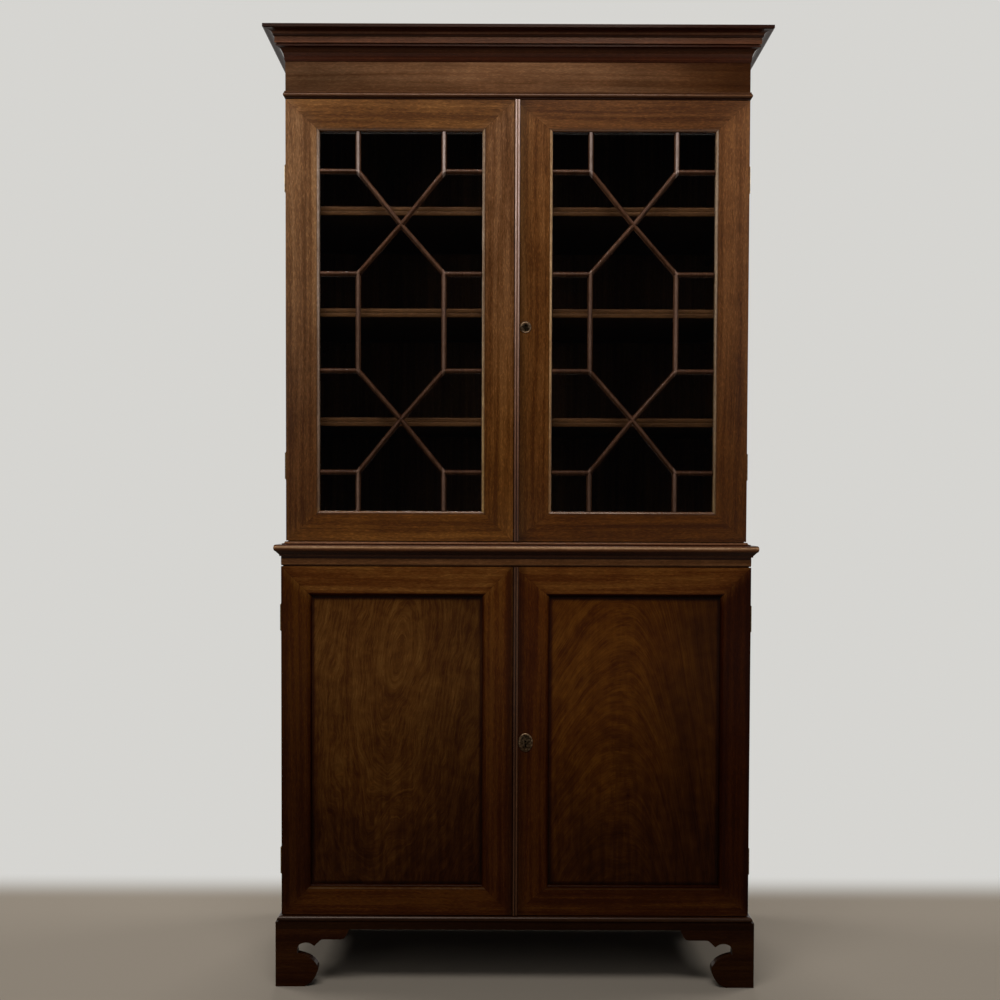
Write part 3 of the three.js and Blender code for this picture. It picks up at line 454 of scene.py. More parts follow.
# Where in the wood each piece's figure is taken from
GRAIN_PLACES = {
    "cornice": (0.3, 0.0, 0.0),
    "frieze_bead": (0.6, 0.0, 0.0),
    "waist_moulding": (5.3, 0.0, 0.0),
    "lower_top_board": (4.0, 0.0, 0.0),
    "plinth_moulding": (7.3, 0.0, 0.0),
    "frieze": (1.0, 0.0, 0.0),
    "sides": (0.0, 0.0, 0.0),
    "feet": (2.0, 0.0, 0.0),
    "plinth_rail": (3.0, 0.0, 0.0),
    "inner": (0.0, 0.0, 0.0),
    "back": (3.0, 0.0, 0.0),
    "bars": (0.0, 0.0, 0.0),
    "upper_bead": (0.5, 0.0, 0.0),
    "lower_bead": (1.0, 0.0, 0.0),
    "left_panel": (1.9, 0.0, 0.8),
    "right_panel": (0.4, 0.0, 2.8),
}

# How far the figure is moved on from door to door
DOOR_GRAIN_STEP = (2.3, 0.4, 5.1)

# Heights over which painted light on the doors falls off towards the foot
UPPER_PAINTED_FALLOFF = (1.10, 1.90)
LOWER_PAINTED_FALLOFF = (0.35, 0.92)

# Tints of each door's left and right stile, both at the foot and the head, and its bottom and top rail
# Each tint is the board's own tone with painted light, darker at the foot, and a painted pale reflection
# where the blue runs high
BOARD_TINTS = {
    "upper_door_left": (((0.57, 0.49, 0.40), (1.33, 1.60, 2.20)), ((0.80, 0.70, 0.40), (0.92, 0.99, 1.28)),
                        (0.95, 0.83, 0.41), (0.87, 0.85, 0.66)),
    "upper_door_right": (((0.70, 0.60, 0.42), (0.99, 0.96, 0.87)), ((0.56, 0.44, 0.25), (0.90, 0.84, 0.82)),
                         (0.60, 0.45, 0.19), (0.59, 0.50, 0.40)),
    "lower_door_left": (((0.47, 0.40, 0.30), (0.87, 0.79, 0.43)), ((0.66, 0.57, 0.50), (1.33, 1.38, 1.07)),
                        (0.90, 0.85, 0.65), (2.08, 2.65, 2.80)),
    "lower_door_right": (((0.66, 0.56, 0.40), (1.00, 0.84, 0.52)), ((0.36, 0.23, 0.11), (0.44, 0.27, 0.12)),
                         (0.79, 0.75, 0.47), (1.74, 2.01, 2.02)),
}

# Tints of each door's moulded edge on the left stile, the right stile and the rails, and its width
# A painted pale highlight on the stiles' moulded edges, and painted shade on the rails' edges and the lower
# doors' edges
PAINTED_EDGE_SHADE = (0.52, 0.42, 0.34)
MOULD_TINTS = {
    "upper_door_left": ((1.20, 1.70, 3.20), (2.60, 4.50, 9.00), (0.70, 0.66, 0.62), 0.0062),
    "upper_door_right": ((3.20, 5.00, 9.50), (1.60, 2.90, 6.50), (0.70, 0.66, 0.62), 0.0062),
    "lower_door_left": (PAINTED_EDGE_SHADE, PAINTED_EDGE_SHADE, None, 0.0030),
    "lower_door_right": (PAINTED_EDGE_SHADE, PAINTED_EDGE_SHADE, None, 0.0030),
}
EDGE_BLUR = 0.0006

# Lips of the lower doors' rails: painted shade outward from the opening, and a painted highlight line with
# its fade
TOP_LIP = ((0.0, 0.10), (0.0050, 0.14), (0.0072, 0.28), (0.0096, 0.75), (0.0120, 0.90), (0.0150, 1.00))
BOTTOM_LIP = (0.34, 0.26, 0.24)
BOTTOM_LIP_END = (0.0036, 0.0052)
LIP_HIGHLIGHT_PLACE = 0.0078
LIP_HIGHLIGHT_LINE = (0.0008, 0.0026, 1.0, 0.0)
LIP_HIGHLIGHT_TINT = (1.50, 2.60, 8.00)

# Painted shade in the quirk beside the moulded edge, and the fade across it
QUIRK_PLACE = 0.001
QUIRK_SHADE_LINE = (0.0008, 0.0022, 0.80, 1.0)

# The dark line in a mitre, and how widely edges and boards pass into each other there
MITRE_LINE = (0.004, 0.012, 0.74, 1.0)
MITRE_EDGE_BLUR = 0.01
MITRE_BOARD_BLUR = 0.45

# Painted shade on each door's meeting stile, by distance from the meeting bead's middle
MEETING_SHADE_LEVELS = {
    "upper_door_left": ((0.0060, 0.86), (0.0090, 1.00)),
    "upper_door_right": ((0.0060, 0.46), (0.0145, 0.52), (0.0200, 0.68), (0.0280, 0.86), (0.0360, 0.96),
                         (0.0440, 1.02)),
    "lower_door_left": ((0.0100, 0.54), (0.0150, 0.68), (0.0200, 0.85), (0.0260, 1.06), (0.0320, 1.00)),
    "lower_door_right": ((0.0120, 0.62), (0.0280, 1.00)),
}

# Sheen of a frame's plain face and of its moulded edge, and where one passes into the other
UPPER_SHEENS = (0.35, 1.0)
LOWER_SHEENS = (0.08, 0.02)
SHEEN_CHANGE = (-0.008, -0.006)


def board_tint(g, door, reach):
    """The tint, with its painted light and painted reflection, of the left stile, right stile, bottom rail
    or top rail that a place lies on.
    """
    (x0, z0), (x1, z1) = door["opening"]
    (left_foot, left_head), (right_foot, right_head), bottom, top = BOARD_TINTS[door["name"]]
    x, _, z = g.split(g.place())
    up = g.fade(z, *reach)
    on_right = g.maths("GREATER_THAN", x, (x0 + x1) / 2)
    stile = g.mix(on_right, g.mix(up, left_foot, left_head), g.mix(up, right_foot, right_head))
    rail = g.mix(g.maths("GREATER_THAN", z, (z0 + z1) / 2), bottom, top)
    return g.mix(g.fade(mitre_value(g, door), -MITRE_BOARD_BLUR, MITRE_BOARD_BLUR), stile, rail)


def rail_lips(g, door, outward):
    """A panelled door's rails beside the opening: painted shade under the top one, and painted shade
    with a painted highlight line along the upper edge of the bottom one."""
    (_, z0), (_, z1) = door["opening"]
    z = g.split(g.place())[UP]
    under_top = g.deepen(levels(g, outward, TOP_LIP))
    lip_highlight = g.fade(g.away(outward, LIP_HIGHLIGHT_PLACE), *LIP_HIGHLIGHT_LINE)
    lip = g.mix(g.fade(outward, *BOTTOM_LIP_END), BOTTOM_LIP, PLAIN)
    on_bottom = g.mix(lip_highlight, lip, LIP_HIGHLIGHT_TINT)
    return g.mix(g.maths("GREATER_THAN", z, (z0 + z1) / 2), on_bottom, under_top)


def edge_tint(g, door, x, mitre, outward):
    """The tint of the moulded edge round a door's opening, a painted highlight or painted shade; rails
    without one have lips instead.
    """
    (x0, _), (x1, _) = door["opening"]
    on_left, on_right, on_rail, width = MOULD_TINTS[door["name"]]
    on_stile = g.mix(g.maths("GREATER_THAN", x, (x0 + x1) / 2), on_left, on_right)
    within = g.fade(outward, width - EDGE_BLUR, width + EDGE_BLUR, 1.0, 0.0)
    stile_edge = g.mix(within, PLAIN, on_stile)
    rail_edge = g.mix(within, PLAIN, on_rail) if on_rail else rail_lips(g, door, outward)
    return g.mix(g.fade(mitre, -MITRE_EDGE_BLUR, MITRE_EDGE_BLUR), stile_edge, rail_edge)


def shade_frame(door, reach):
    """Each board's own tint with painted light, painted light and shade on the moulded edge and in its
    quirk, painted shade beside the meeting bead, and fine mitre lines.
    """
    width = MOULD_TINTS[door["name"]][-1]

    def shade(g):
        x = g.split(g.place())[ACROSS]
        mitre = mitre_value(g, door)
        line = g.fade(g.maths("ABSOLUTE", mitre), *MITRE_LINE)
        by_bead = levels(g, g.maths("ABSOLUTE", x), MEETING_SHADE_LEVELS[door["name"]])
        outward = g.maths("MULTIPLY", edge_distance(g, *door["opening"]), -1.0)
        quirk = g.fade(g.away(outward, width + QUIRK_PLACE), *QUIRK_SHADE_LINE)
        level = g.maths("MULTIPLY", g.maths("MULTIPLY", line, quirk), by_bead)
        edge = edge_tint(g, door, x, mitre, outward)
        return g.tint(g.tint(board_tint(g, door, reach), edge), level)
    return shade


def sheen_on_mould(door, plain, mould):
    """Another sheen on the moulded inner edge of a frame."""
    def sheen(g):
        return g.fade(edge_distance(g, *door["opening"]), *SHEEN_CHANGE, plain, mould)
    return sheen


def finish_doors():
    for i, (name, door) in enumerate(DOORS.items()):
        grain = grain_mitred(door, tuple(step * i for step in DOOR_GRAIN_STEP))
        if name in UPPER_DOORS:
            made = wood(name + "_wood", UPPER_TONES, grain, sheen=sheen_on_mould(door, *UPPER_SHEENS),
                        tone_width=0.13, fleck_light=0.42, shade=shade_frame(door, UPPER_PAINTED_FALLOFF))
        else:
            made = wood(name + "_wood", LOWER_TONES, grain, sheen=sheen_on_mould(door, *LOWER_SHEENS),
                        tone_width=0.12, shade=shade_frame(door, LOWER_PAINTED_FALLOFF))
        paint(name + "_frame", made)


# Rings of the left panel: their middle as shares of the opening, how tall they are and how they lean
EYE_PLACE = (0.52, 0.80)
EYE_STRETCH = 3.6
EYE_LEAN = 0.14

# Arches of the right panel: their axis as a share of the opening, and their falls on the left and right
FEATHER_PLACE = 0.46
FEATHER_FALLS = (5.5, 20.0)

# Where each panel is lightest, as shares of the opening, and its tints there and far off
LEFT_LIGHT = (0.35, 0.85)
LEFT_TINTS = ((1.20, 1.32, 1.36), (0.290, 0.210, 0.170))
RIGHT_LIGHT = (0.18, 0.92)
RIGHT_TINTS = ((1.13, 1.02, 0.61), (0.300, 0.222, 0.150))
LIGHT_NARROWING = 1.5
LIGHT_REACH = (0.05, 0.72)

# Shade on a panel beside the frame and under the top rail
PANEL_MARGIN = (0.003, 0.0105, 0.34, 1.0)
PANEL_TOP = (0.0, 0.008, 0.30, 1.0)

# Dark and light strokes: how many to a metre, and the noise levels between them
STROKES = (75.0, 1.0, 7.0)
STROKE_ROUGHNESS = 0.6
STROKE_LEVELS = (0.40, 0.58)

# The dark strokes' share of light from one height to another, and the light strokes' share
DARK_STROKE = (0.30, 0.66, 0.72, 0.94)
LIGHT_STROKE = 1.06


def panel_place(name, x_share, z_share):
    """A place on a door's panel from shares of its opening."""
    (x0, z0), (x1, z1) = DOORS[name]["opening"]
    return x0 + (x1 - x0) * x_share, z0 + (z1 - z0) * z_share


def panel_strokes(g, z):
    """Upright strokes in the veneer, darkest low down."""
    strokes = g.noise(g.vector("MULTIPLY", g.place(), STROKES), detail=3.0, roughness=STROKE_ROUGHNESS)
    dark = g.fade(z, *DARK_STROKE)
    return g.mix(g.fade(strokes, *STROKE_LEVELS), dark, LIGHT_STROKE, kind="FLOAT")


def shade_panel(door, light_place, light, dark):
    """Lightest about one place, darker and redder further off, with painted shade close to the frame and
    under the top rail.
    """
    def shade(g):
        x, _, z = g.split(g.place())
        margin = g.fade(edge_distance(g, *door["opening"]), *PANEL_MARGIN)
        under_top = g.fade(g.maths("SUBTRACT", door["opening"][1][1], z), *PANEL_TOP)
        stroke = panel_strokes(g, z)
        across = g.maths("MULTIPLY", g.maths("SUBTRACT", x, light_place[0]), LIGHT_NARROWING)
        reach = g.length(across, g.maths("SUBTRACT", z, light_place[1]))
        reach = g.maths("ADD", reach, wandering(g, *CLOUD_WANDER))
        tone = g.mix(g.fade(reach, *LIGHT_REACH), light, dark)
        painted_shade = g.maths("MULTIPLY", margin, under_top)
        return g.tint(tone, g.deepen(g.maths("MULTIPLY", painted_shade, stroke)))
    return shade


def finish_panels():
    left, right = LOWER_DOORS
    eye = grain_eyed(panel_place(left, *EYE_PLACE), EYE_STRETCH, EYE_LEAN, GRAIN_PLACES["left_panel"])
    axis = panel_place(right, FEATHER_PLACE, 0.0)[ACROSS]
    feather = grain_feathered(axis, *FEATHER_FALLS, GRAIN_PLACES["right_panel"])
    for name, grain, layers, light_place, tints in (
            (left, eye, EYE_LAYERS, LEFT_LIGHT, LEFT_TINTS),
            (right, feather, FEATHER_LAYERS, RIGHT_LIGHT, RIGHT_TINTS)):
        shade = shade_panel(DOORS[name], panel_place(name, *light_place), *tints)
        made = wood(name + "_panel_wood", PANEL_TONES, grain, sheen=0.08, layers=layers, warp=0.0,
                    mottle=40.0, mottle_share=0.22, tone_width=0.225, fleck_light=0.22, shade=shade)
        paint(name + "_panel", made)


# Painted light and shade on the mouldings' faces, lit faces lighter and hollows darker, as levels by height
# above the foot of each
CORNICE_LEVELS = (
    (0.0000, 0.22), (0.0040, 0.22), (0.0047, 0.15), (0.0061, 0.30), (0.0080, 0.22), (0.0116, 0.20),
    (0.0153, 0.27), (0.0190, 0.47), (0.0226, 0.64), (0.0245, 0.50), (0.0263, 0.33), (0.0285, 0.22),
    (0.0325, 0.22), (0.0333, 0.36), (0.0345, 0.85), (0.0395, 0.85), (0.0440, 1.15), (0.0462, 1.60),
    (0.0478, 2.20), (0.0483, 0.28), (0.0520, 0.28), (0.0545, 1.30), (0.0560, 1.15), (0.0575, 0.50),
    (0.0595, 0.34), (0.0610, 0.14), (0.0680, 0.14))
FRIEZE_BEAD_LEVELS = (
    (0.0000, 0.10), (0.0014, 0.22), (0.0037, 0.42), (0.0060, 0.42), (0.0072, 0.80), (0.0084, 0.95),
    (0.0096, 0.60), (0.0107, 0.48), (0.0160, 0.70))
WAIST_LEVELS = (
    (0.0000, 0.10), (0.0022, 0.10), (0.0043, 0.22), (0.0068, 0.31), (0.0085, 0.20), (0.0110, 0.10),
    (0.0165, 0.14), (0.0184, 0.27), (0.0207, 0.41), (0.0231, 0.61), (0.0254, 1.60), (0.0277, 2.10),
    (0.0300, 0.55), (0.0320, 0.16), (0.0338, 0.16), (0.0348, 0.30), (0.0358, 0.74), (0.0395, 0.76))

# The cornice's roughness and sheen, seen openly and seen almost edge on, and the change between
CORNICE_ROUGHNESS = (0.24, 0.05)
CORNICE_SHEEN = (0.18, 1.0)
SLANT_REACH = (0.78, 0.85)

# Heights over which painted light on the base falls off towards the foot, its share at the foot, and each
# piece's share
BASE_PAINTED_FALLOFF = (0.20, 1.00, 0.56)
PLINTH_MOULDING_SHARE = 0.58
PLINTH_RAIL_SHARE = 0.40

# The frieze's light from left to middle and its tint from middle to right, with soft clouds
FRIEZE_LEFT = (-0.56, -0.02, 0.52, 1.0)
FRIEZE_RIGHT = (0.08, 0.54)
FRIEZE_DARK = (0.38, 0.27, 0.16)
FRIEZE_CLOUDS = (7.0, 7.0, 16.0)
FRIEZE_CLOUD_LEVELS = (0.30, 0.70, 0.86, 1.14)

# The feet's light from left to right
FOOT_LEVELS = (-0.30, 0.30, 0.48, 0.34)


def shade_frieze(g):
    """Lighter in the middle, darkest at the right."""
    x = g.split(g.place())[ACROSS]
    left = g.fade(x, *FRIEZE_LEFT)
    right = g.mix(g.fade(x, *FRIEZE_RIGHT), PLAIN, FRIEZE_DARK)
    clouds = g.noise(g.vector("MULTIPLY", g.place(), FRIEZE_CLOUDS), detail=2.0)
    return g.tint(right, g.maths("MULTIPLY", left, g.fade(clouds, *FRIEZE_CLOUD_LEVELS)))


def shade_foot(g):
    """Darker on the right."""
    return g.fade(g.split(g.place())[ACROSS], *FOOT_LEVELS)


def at_a_slant(plain, slanting):
    """One value where polish is seen openly and another where it is seen almost edge on."""
    def gloss(g):
        weight = g.add("ShaderNodeLayerWeight")
        weight.inputs["Blend"].default_value = 0.5
        return g.fade(weight.outputs["Facing"], *SLANT_REACH, plain, slanting)
    return gloss


def finish_mouldings():
    cornice = wood("cornice_wood", CORNICE_TONES, grain_round(GRAIN_PLACES["cornice"]),
                   roughness=at_a_slant(*CORNICE_ROUGHNESS), sheen=at_a_slant(*CORNICE_SHEEN),
                   shade=shade_by_levels(from_box("cornice", CORNICE_LEVELS)))
    paint("cornice", cornice)
    bead = wood("frieze_bead_wood", FRIEZE_TONES, grain_round(GRAIN_PLACES["frieze_bead"]), sheen=0.2,
                shade=shade_by_levels(from_box("frieze_bead", FRIEZE_BEAD_LEVELS)))
    paint("frieze_bead", bead)
    waist = wood("waist_wood", WAIST_TONES, grain_round(GRAIN_PLACES["waist_moulding"]), sheen=0.22,
                 shade=shade_by_levels(from_box("waist_moulding", WAIST_LEVELS)))
    paint("waist_moulding", waist)
    plinth = wood("plinth_wood", LOWER_TONES, grain_round(GRAIN_PLACES["plinth_moulding"]), sheen=0.22,
                  shade=shade_by_height(*BASE_PAINTED_FALLOFF, PLINTH_MOULDING_SHARE))
    paint("plinth_moulding", plinth)


def finish_boards():
    top_board = wood("top_board_wood", STRIP_TONES, grain_level(GRAIN_PLACES["lower_top_board"]))
    paint("lower_top_board", top_board)
    frieze = wood("frieze_wood", FRIEZE_TONES, grain_level(GRAIN_PLACES["frieze"]), sheen=0.06,
                  tone_width=0.20, shade=shade_frieze)
    paint("frieze", frieze)
    side = wood("side_wood", SIDE_TONES, grain_upright(GRAIN_PLACES["sides"]), sheen=0.2)
    for stage in ("upper", "lower"):
        for hand in ("left", "right"):
            paint(f"{stage}_side_{hand}", side)


def finish_base():
    foot = wood("foot_wood", LOWER_TONES, grain_round(GRAIN_PLACES["feet"]), sheen=0.08, shade=shade_foot)
    for end in ("front", "back"):
        for hand in ("left", "right"):
            paint(f"foot_{end}_{hand}", foot)
    rail = wood("plinth_rail_wood", LOWER_TONES, grain_round(GRAIN_PLACES["plinth_rail"]), sheen=0.08,
                shade=shade_by_height(*BASE_PAINTED_FALLOFF, PLINTH_RAIL_SHARE))
    paint("plinth_rail", rail)


# Levels of the matched backs by depth from their inner face: painted shade inside the case, light behind it
BACK_LEVELS = ((0.0027, 0.34), (0.0107, 1.0))

# Depths behind its front edge between which a shelf darkens into painted shade, and its level further in
SHELF_EDGE = (0.003, 0.006)
SHELF_INSIDE = 0.18


def shelf_wood(name):
    """Dark further in like the boards, as painted shade inside the case, and light along its front edge."""
    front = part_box(name)[0].y
    start, end = SHELF_EDGE

    def shade(g):
        return g.fade(g.split(g.place())[DEEP], front + start, front + end, 1.0, SHELF_INSIDE)
    grain = grain_level(GRAIN_PLACES["inner"])
    return wood(name + "_wood", SHELF_EDGE_TONES, grain, roughness=0.5, shade=shade)


def finish_inside():
    board = wood("inner_wood", INNER_TONES, grain_level(GRAIN_PLACES["inner"]), roughness=0.6)
    for name in ("upper_bottom_board", "upper_top_board", "lower_bottom_board", "lower_shelf"):
        paint(name, board)
    for name in ("shelf_low", "shelf_middle", "shelf_high"):
        paint(name, shelf_wood(name))
    back = wood("back_wood", BACK_TONES, grain_upright(GRAIN_PLACES["back"]), roughness=0.7,
                shade=shade_by_levels(from_box("upper_back", BACK_LEVELS, DEEP), DEEP))
    for name in ("upper_back", "lower_back"):
        paint(name, back)


# Glazing pattern, as shares of the opening from its top left corner
STUB_X_SHARE = 0.235
STUB_Y_SHARE = 0.103
CROSS_Y_SHARE = 0.243
WAIST_Y_SHARE = 0.372

# Light along the crowns of the upright bars: its fade from the middle, and tints low and high
CROWN_LINE = (0.0026, 0.0040)
CROWN_TINT = (2.4, 3.2, 4.2)
CROWN_TOP_TINT = (4.6, 8.0, 13.0)
CROWN_REACH = (1.86, 1.92)

# Heights over which painted light on the bars falls off towards their foot, and the share at their foot
BAR_PAINTED_FALLOFF = (1.10, 1.95, 0.72)

# Painted highlights on the meeting beads' reeds and painted shade between and beside them, by distance from
# their middle; painted light on the upper one falling off by height
REED_LEVELS = ((0.0000, 0.30), (0.0010, 0.45), (0.0022, 1.00), (0.0040, 1.00), (0.0052, 0.55),
               (0.0060, 0.40))
BEAD_PAINTED_FALLOFF = ((1.110, 0.26), (1.308, 0.52), (1.471, 0.86), (1.656, 1.40), (1.817, 1.80))


def shade_bars(door):
    """Light along the crowns of a door's two upright bars, and painted light falling off towards their foot.
    """
    (x0, _), (x1, _) = door["opening"]
    places = [x0 + (x1 - x0) * share for share in (STUB_X_SHARE, 1 - STUB_X_SHARE)]

    def shade(g):
        x, _, z = g.split(g.place())
        near = g.maths("MINIMUM", *[g.away(x, place) for place in places])
        lit = g.mix(g.fade(z, *CROWN_REACH), CROWN_TINT, CROWN_TOP_TINT)
        crown = g.mix(g.fade(near, *CROWN_LINE), lit, PLAIN)
        return g.tint(crown, shade_by_height(*BAR_PAINTED_FALLOFF)(g))
    return shade


def finish_bars_and_beads():
    for name in UPPER_DOORS:
        bars = wood(name + "_bar_wood", BAR_TONES, grain_upright(GRAIN_PLACES["bars"]), sheen=0.12,
                    shade=shade_bars(DOORS[name]))
        paint(name + "_glazing_bars", bars)
    upper_bead = wood("upper_bead_wood", BEAD_TONES, grain_upright(GRAIN_PLACES["upper_bead"]), sheen=0.5,
                      shade=both(shade_by_levels(REED_LEVELS, ACROSS), shade_by_levels(BEAD_PAINTED_FALLOFF)))
    paint("upper_door_right_meeting_bead", upper_bead)
    lower_bead = wood("lower_bead_wood", LOWER_BEAD_TONES, grain_upright(GRAIN_PLACES["lower_bead"]),
                      sheen=0.3, shade=shade_by_levels(REED_LEVELS, ACROSS))
    paint("lower_door_right_meeting_bead", lower_bead)


# Brass and the dirt on it, how many patches of it to a metre, and the noise levels between them
HINGE_BRASS = ((0.20, 0.13, 0.055), (0.07, 0.045, 0.02))
PLATE_BRASS = ((0.20, 0.13, 0.075), (0.05, 0.030, 0.016))
SCREW_BRASS = ((0.34, 0.25, 0.14), (0.16, 0.11, 0.06))
PATCHES = (180.0, 180.0, 180.0)
DIRT_LEVEL = 0.40
BRASS_LEVEL = 0.60

# Key plates: levels of the darker dish and of the rim with its painted highlight, and the shares of the
# radius between them
UPPER_PLATE = (0.40, 0.90)
LOWER_PLATE = (0.52, 1.25)
DISH_REACH = (0.62, 0.86)

# Keyhole, painted black as the shade in it: its place under the plate's middle, the fades of its sides and
# ends, and how dark it is
KEYHOLE_DROP = 0.001
KEYHOLE_SIDE = (0.0016, 0.0024, 1.0, 0.0)
KEYHOLE_END = (0.0055, 0.0065, 1.0, 0.0)
KEYHOLE_SHADE = 0.95


def aged_brass(name, tone, dirt_tone, roughness=0.38, shade=None):
    material, g, shader = new_material(name)
    patches = g.noise(g.vector("MULTIPLY", g.place(), PATCHES), detail=4.0)
    colour = g.ramp(patches, [(DIRT_LEVEL, dirt_tone), (BRASS_LEVEL, tone)])
    if shade is not None:
        colour = g.tint(colour, shade(g))
    g.feed(shader.inputs["Base Color"], colour)
    shader.inputs["Metallic"].default_value = 1.0
    shader.inputs["Roughness"].default_value = roughness
    return material


def shade_plate(name, dish_level, rim_highlight):
    """A key plate's dark dish, its rim with a painted highlight, and a keyhole painted black as its shade.
    """
    low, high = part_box(name)
    middle = (low + high) / 2
    reach = (high - low) / 2

    def shade(g):
        x, _, z = g.split(g.place())
        across = g.maths("SUBTRACT", x, middle.x)
        up = g.maths("SUBTRACT", z, middle.z)
        radius = g.length(g.maths("DIVIDE", across, reach.x), g.maths("DIVIDE", up, reach.z))
        dish = g.fade(radius, *DISH_REACH, dish_level, rim_highlight)
        beside = g.fade(g.maths("ABSOLUTE", across), *KEYHOLE_SIDE)
        beyond = g.fade(g.maths("ABSOLUTE", g.maths("ADD", up, KEYHOLE_DROP)), *KEYHOLE_END)
        keyhole = g.maths("MULTIPLY", g.maths("MULTIPLY", beside, beyond), KEYHOLE_SHADE)
        return g.maths("MULTIPLY", dish, g.maths("SUBTRACT", 1.0, keyhole))
    return shade


def finish_fittings():
    hinge = aged_brass("hinge_brass", *HINGE_BRASS)
    for name in NODES:
        if name.endswith("escutcheon"):
            shade = shade_plate(name, *(UPPER_PLATE if name.startswith("upper") else LOWER_PLATE))
            paint(name, aged_brass(name + "_brass", *PLATE_BRASS, roughness=0.30, shade=shade))
        elif name.endswith(("_leaf", "_lock", "_bolt")):
            paint(name, hinge)


# Panes: thickness, gap behind the front of the one sheet that they replace, and the putty's width
PANE_THICK = 0.0024
PANE_BACK = 0.0006
PANE_CUT = 0.0008

# How much the panes tilt across and up, and how the tilt changes from pane to pane
PANE_TILT = (0.0012, 0.0009)
PANE_TURN = (2.4, 1.7)


def old_glass(name):
    """Clear sheet; light that falls through it isn't held back."""
    material, g, shader = new_material(name)
    shader.inputs["Base Color"].default_value = (0.94, 0.93, 0.90, 1.0)
    shader.inputs["Roughness"].default_value = 0.01
    shader.inputs["IOR"].default_value = 1.5
    shader.inputs["Transmission Weight"].default_value = 1.0
    clear = g.add("ShaderNodeBsdfTransparent")
    clear.inputs["Color"].default_value = (0.84, 0.86, 0.84, 1.0)
    path = g.add("ShaderNodeLightPath")
    lit = g.maths("ADD", path.outputs["Is Shadow Ray"], path.outputs["Is Diffuse Ray"], clamp=True)
    mix_output(material, g, lit, shader, clear)
    return material


def pane_outlines():
    """The thirteen panes, as lists of [x, y] shares of the opening from its top left corner."""
    s, a, b, c = STUB_X_SHARE, STUB_Y_SHARE, CROSS_Y_SHARE, WAIST_Y_SHARE
    corner = [(0, 0), (s, 0), (s, a), (0, a)]
    end = [(s, 0), (1 - s, 0), (1 - s, a), (0.5, b), (s, a)]
    flank = [(0, a), (s, a), (0.5, b), (s, c), (0, c)]
    side = [(0, c), (s, c), (s, 1 - c), (0, 1 - c)]
    middle = [(0.5, b), (1 - s, c), (1 - s, 1 - c), (0.5, 1 - b), (s, 1 - c), (s, c)]

    def mirrored(points, in_x, in_y):
        return [(1 - x if in_x else x, 1 - y if in_y else y) for x, y in points]

    outlines = [mirrored(corner, i, j) for i in (0, 1) for j in (0, 1)]
    outlines += [mirrored(end, 0, j) for j in (0, 1)]
    outlines += [mirrored(flank, i, j) for i in (0, 1) for j in (0, 1)]
    outlines += [mirrored(side, i, 0) for i in (0, 1)]
    return [*outlines, middle]


def pane(name, outline, y_front, tilt, material):
    """A flat piece of glass, drawn in to its middle by the putty's width and tilted a little. Its
    faces look outwards, for which the outline must run anticlockwise."""
    turns = sum(a[0] * b[1] - b[0] * a[1] for a, b in zip(outline, outline[1:] + outline[:1]))
    if turns < 0:
        outline = outline[::-1]
    count = len(outline)
    middle = Vector((sum(p[0] for p in outline), sum(p[1] for p in outline))) / count
    points = []
    for y in (y_front, y_front + PANE_THICK):
        for x, z in outline:
            away = Vector((x, z)) - middle
            edge = middle + away * (1 - PANE_CUT / away.length)
            lean = tilt[0] * away.x + tilt[1] * away.y
            points.append((edge.x, y + lean, edge.y))
    faces = [tuple(range(count)), tuple(reversed(range(count, 2 * count))), *ring_faces(count)]
    return mesh_object(name, points, faces, material)


def glaze(door, material):
    """Thirteen separate panes in place of a door's one sheet."""
    (x0, z0), (x1, z1) = door["opening"]
    name = door["name"]
    for i, shares in enumerate(pane_outlines()):
        outline = [(x0 + (x1 - x0) * sx, z1 - (z1 - z0) * sy) for sx, sy in shares]
        tilt = (PANE_TILT[0] * math.sin(PANE_TURN[0] * i + x0),
                PANE_TILT[1] * math.cos(PANE_TURN[1] * i + x1))
        made = pane(f"{name}_pane_{i + 1}", outline, door["fill_front"] + PANE_BACK, tilt, material)
        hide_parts(name + "_glass")
        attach(made, name)


def glaze_doors():
    material = old_glass("old_glass")
    for name in UPPER_DOORS:
        glaze(DOORS[name], material)


# Hinge screws, three in each leaf: place across from its middle, and up as a share of its length
SCREW_PLACES = ((0.0045, 0.16), (-0.0020, 0.50), (0.0045, 0.84))
LEAF_WIDTH = 0.016
LEAF_HALF_GAP = 0.00015

# A screw's head: how far it stands out of the leaf and goes into it, and how its slot is turned
SCREW_RADIUS = 0.0026
SCREW_HALF_SLOT = 0.0004
SCREW_PROUD = 0.0001
SCREW_SINK = 0.0004
SCREW_SIDES = 14
FIRST_SLOT = 0.4
SLOT_TURN = 0.9


def half_disc(centre, y_face, out, start):
    """One half of a screw's head beside its slot: a flat half disc with a skirt into the leaf."""
    turn = Matrix.Rotation(start, 2)
    rim = []
    for i in range(SCREW_SIDES + 1):
        angle = math.pi * i / SCREW_SIDES
        point = (SCREW_RADIUS * math.cos(angle), SCREW_HALF_SLOT + SCREW_RADIUS * math.sin(angle))
        rim.append(turn @ Vector(point))
    points = []
    for depth in (SCREW_PROUD, -SCREW_SINK):
        points += [(centre[0] + p.x, y_face + out * depth, centre[1] + p.y) for p in rim]
    faces = [tuple(range(len(rim))), *ring_faces(len(rim))]
    if out > 0:
        faces = [tuple(reversed(face)) for face in faces]
    return points, faces


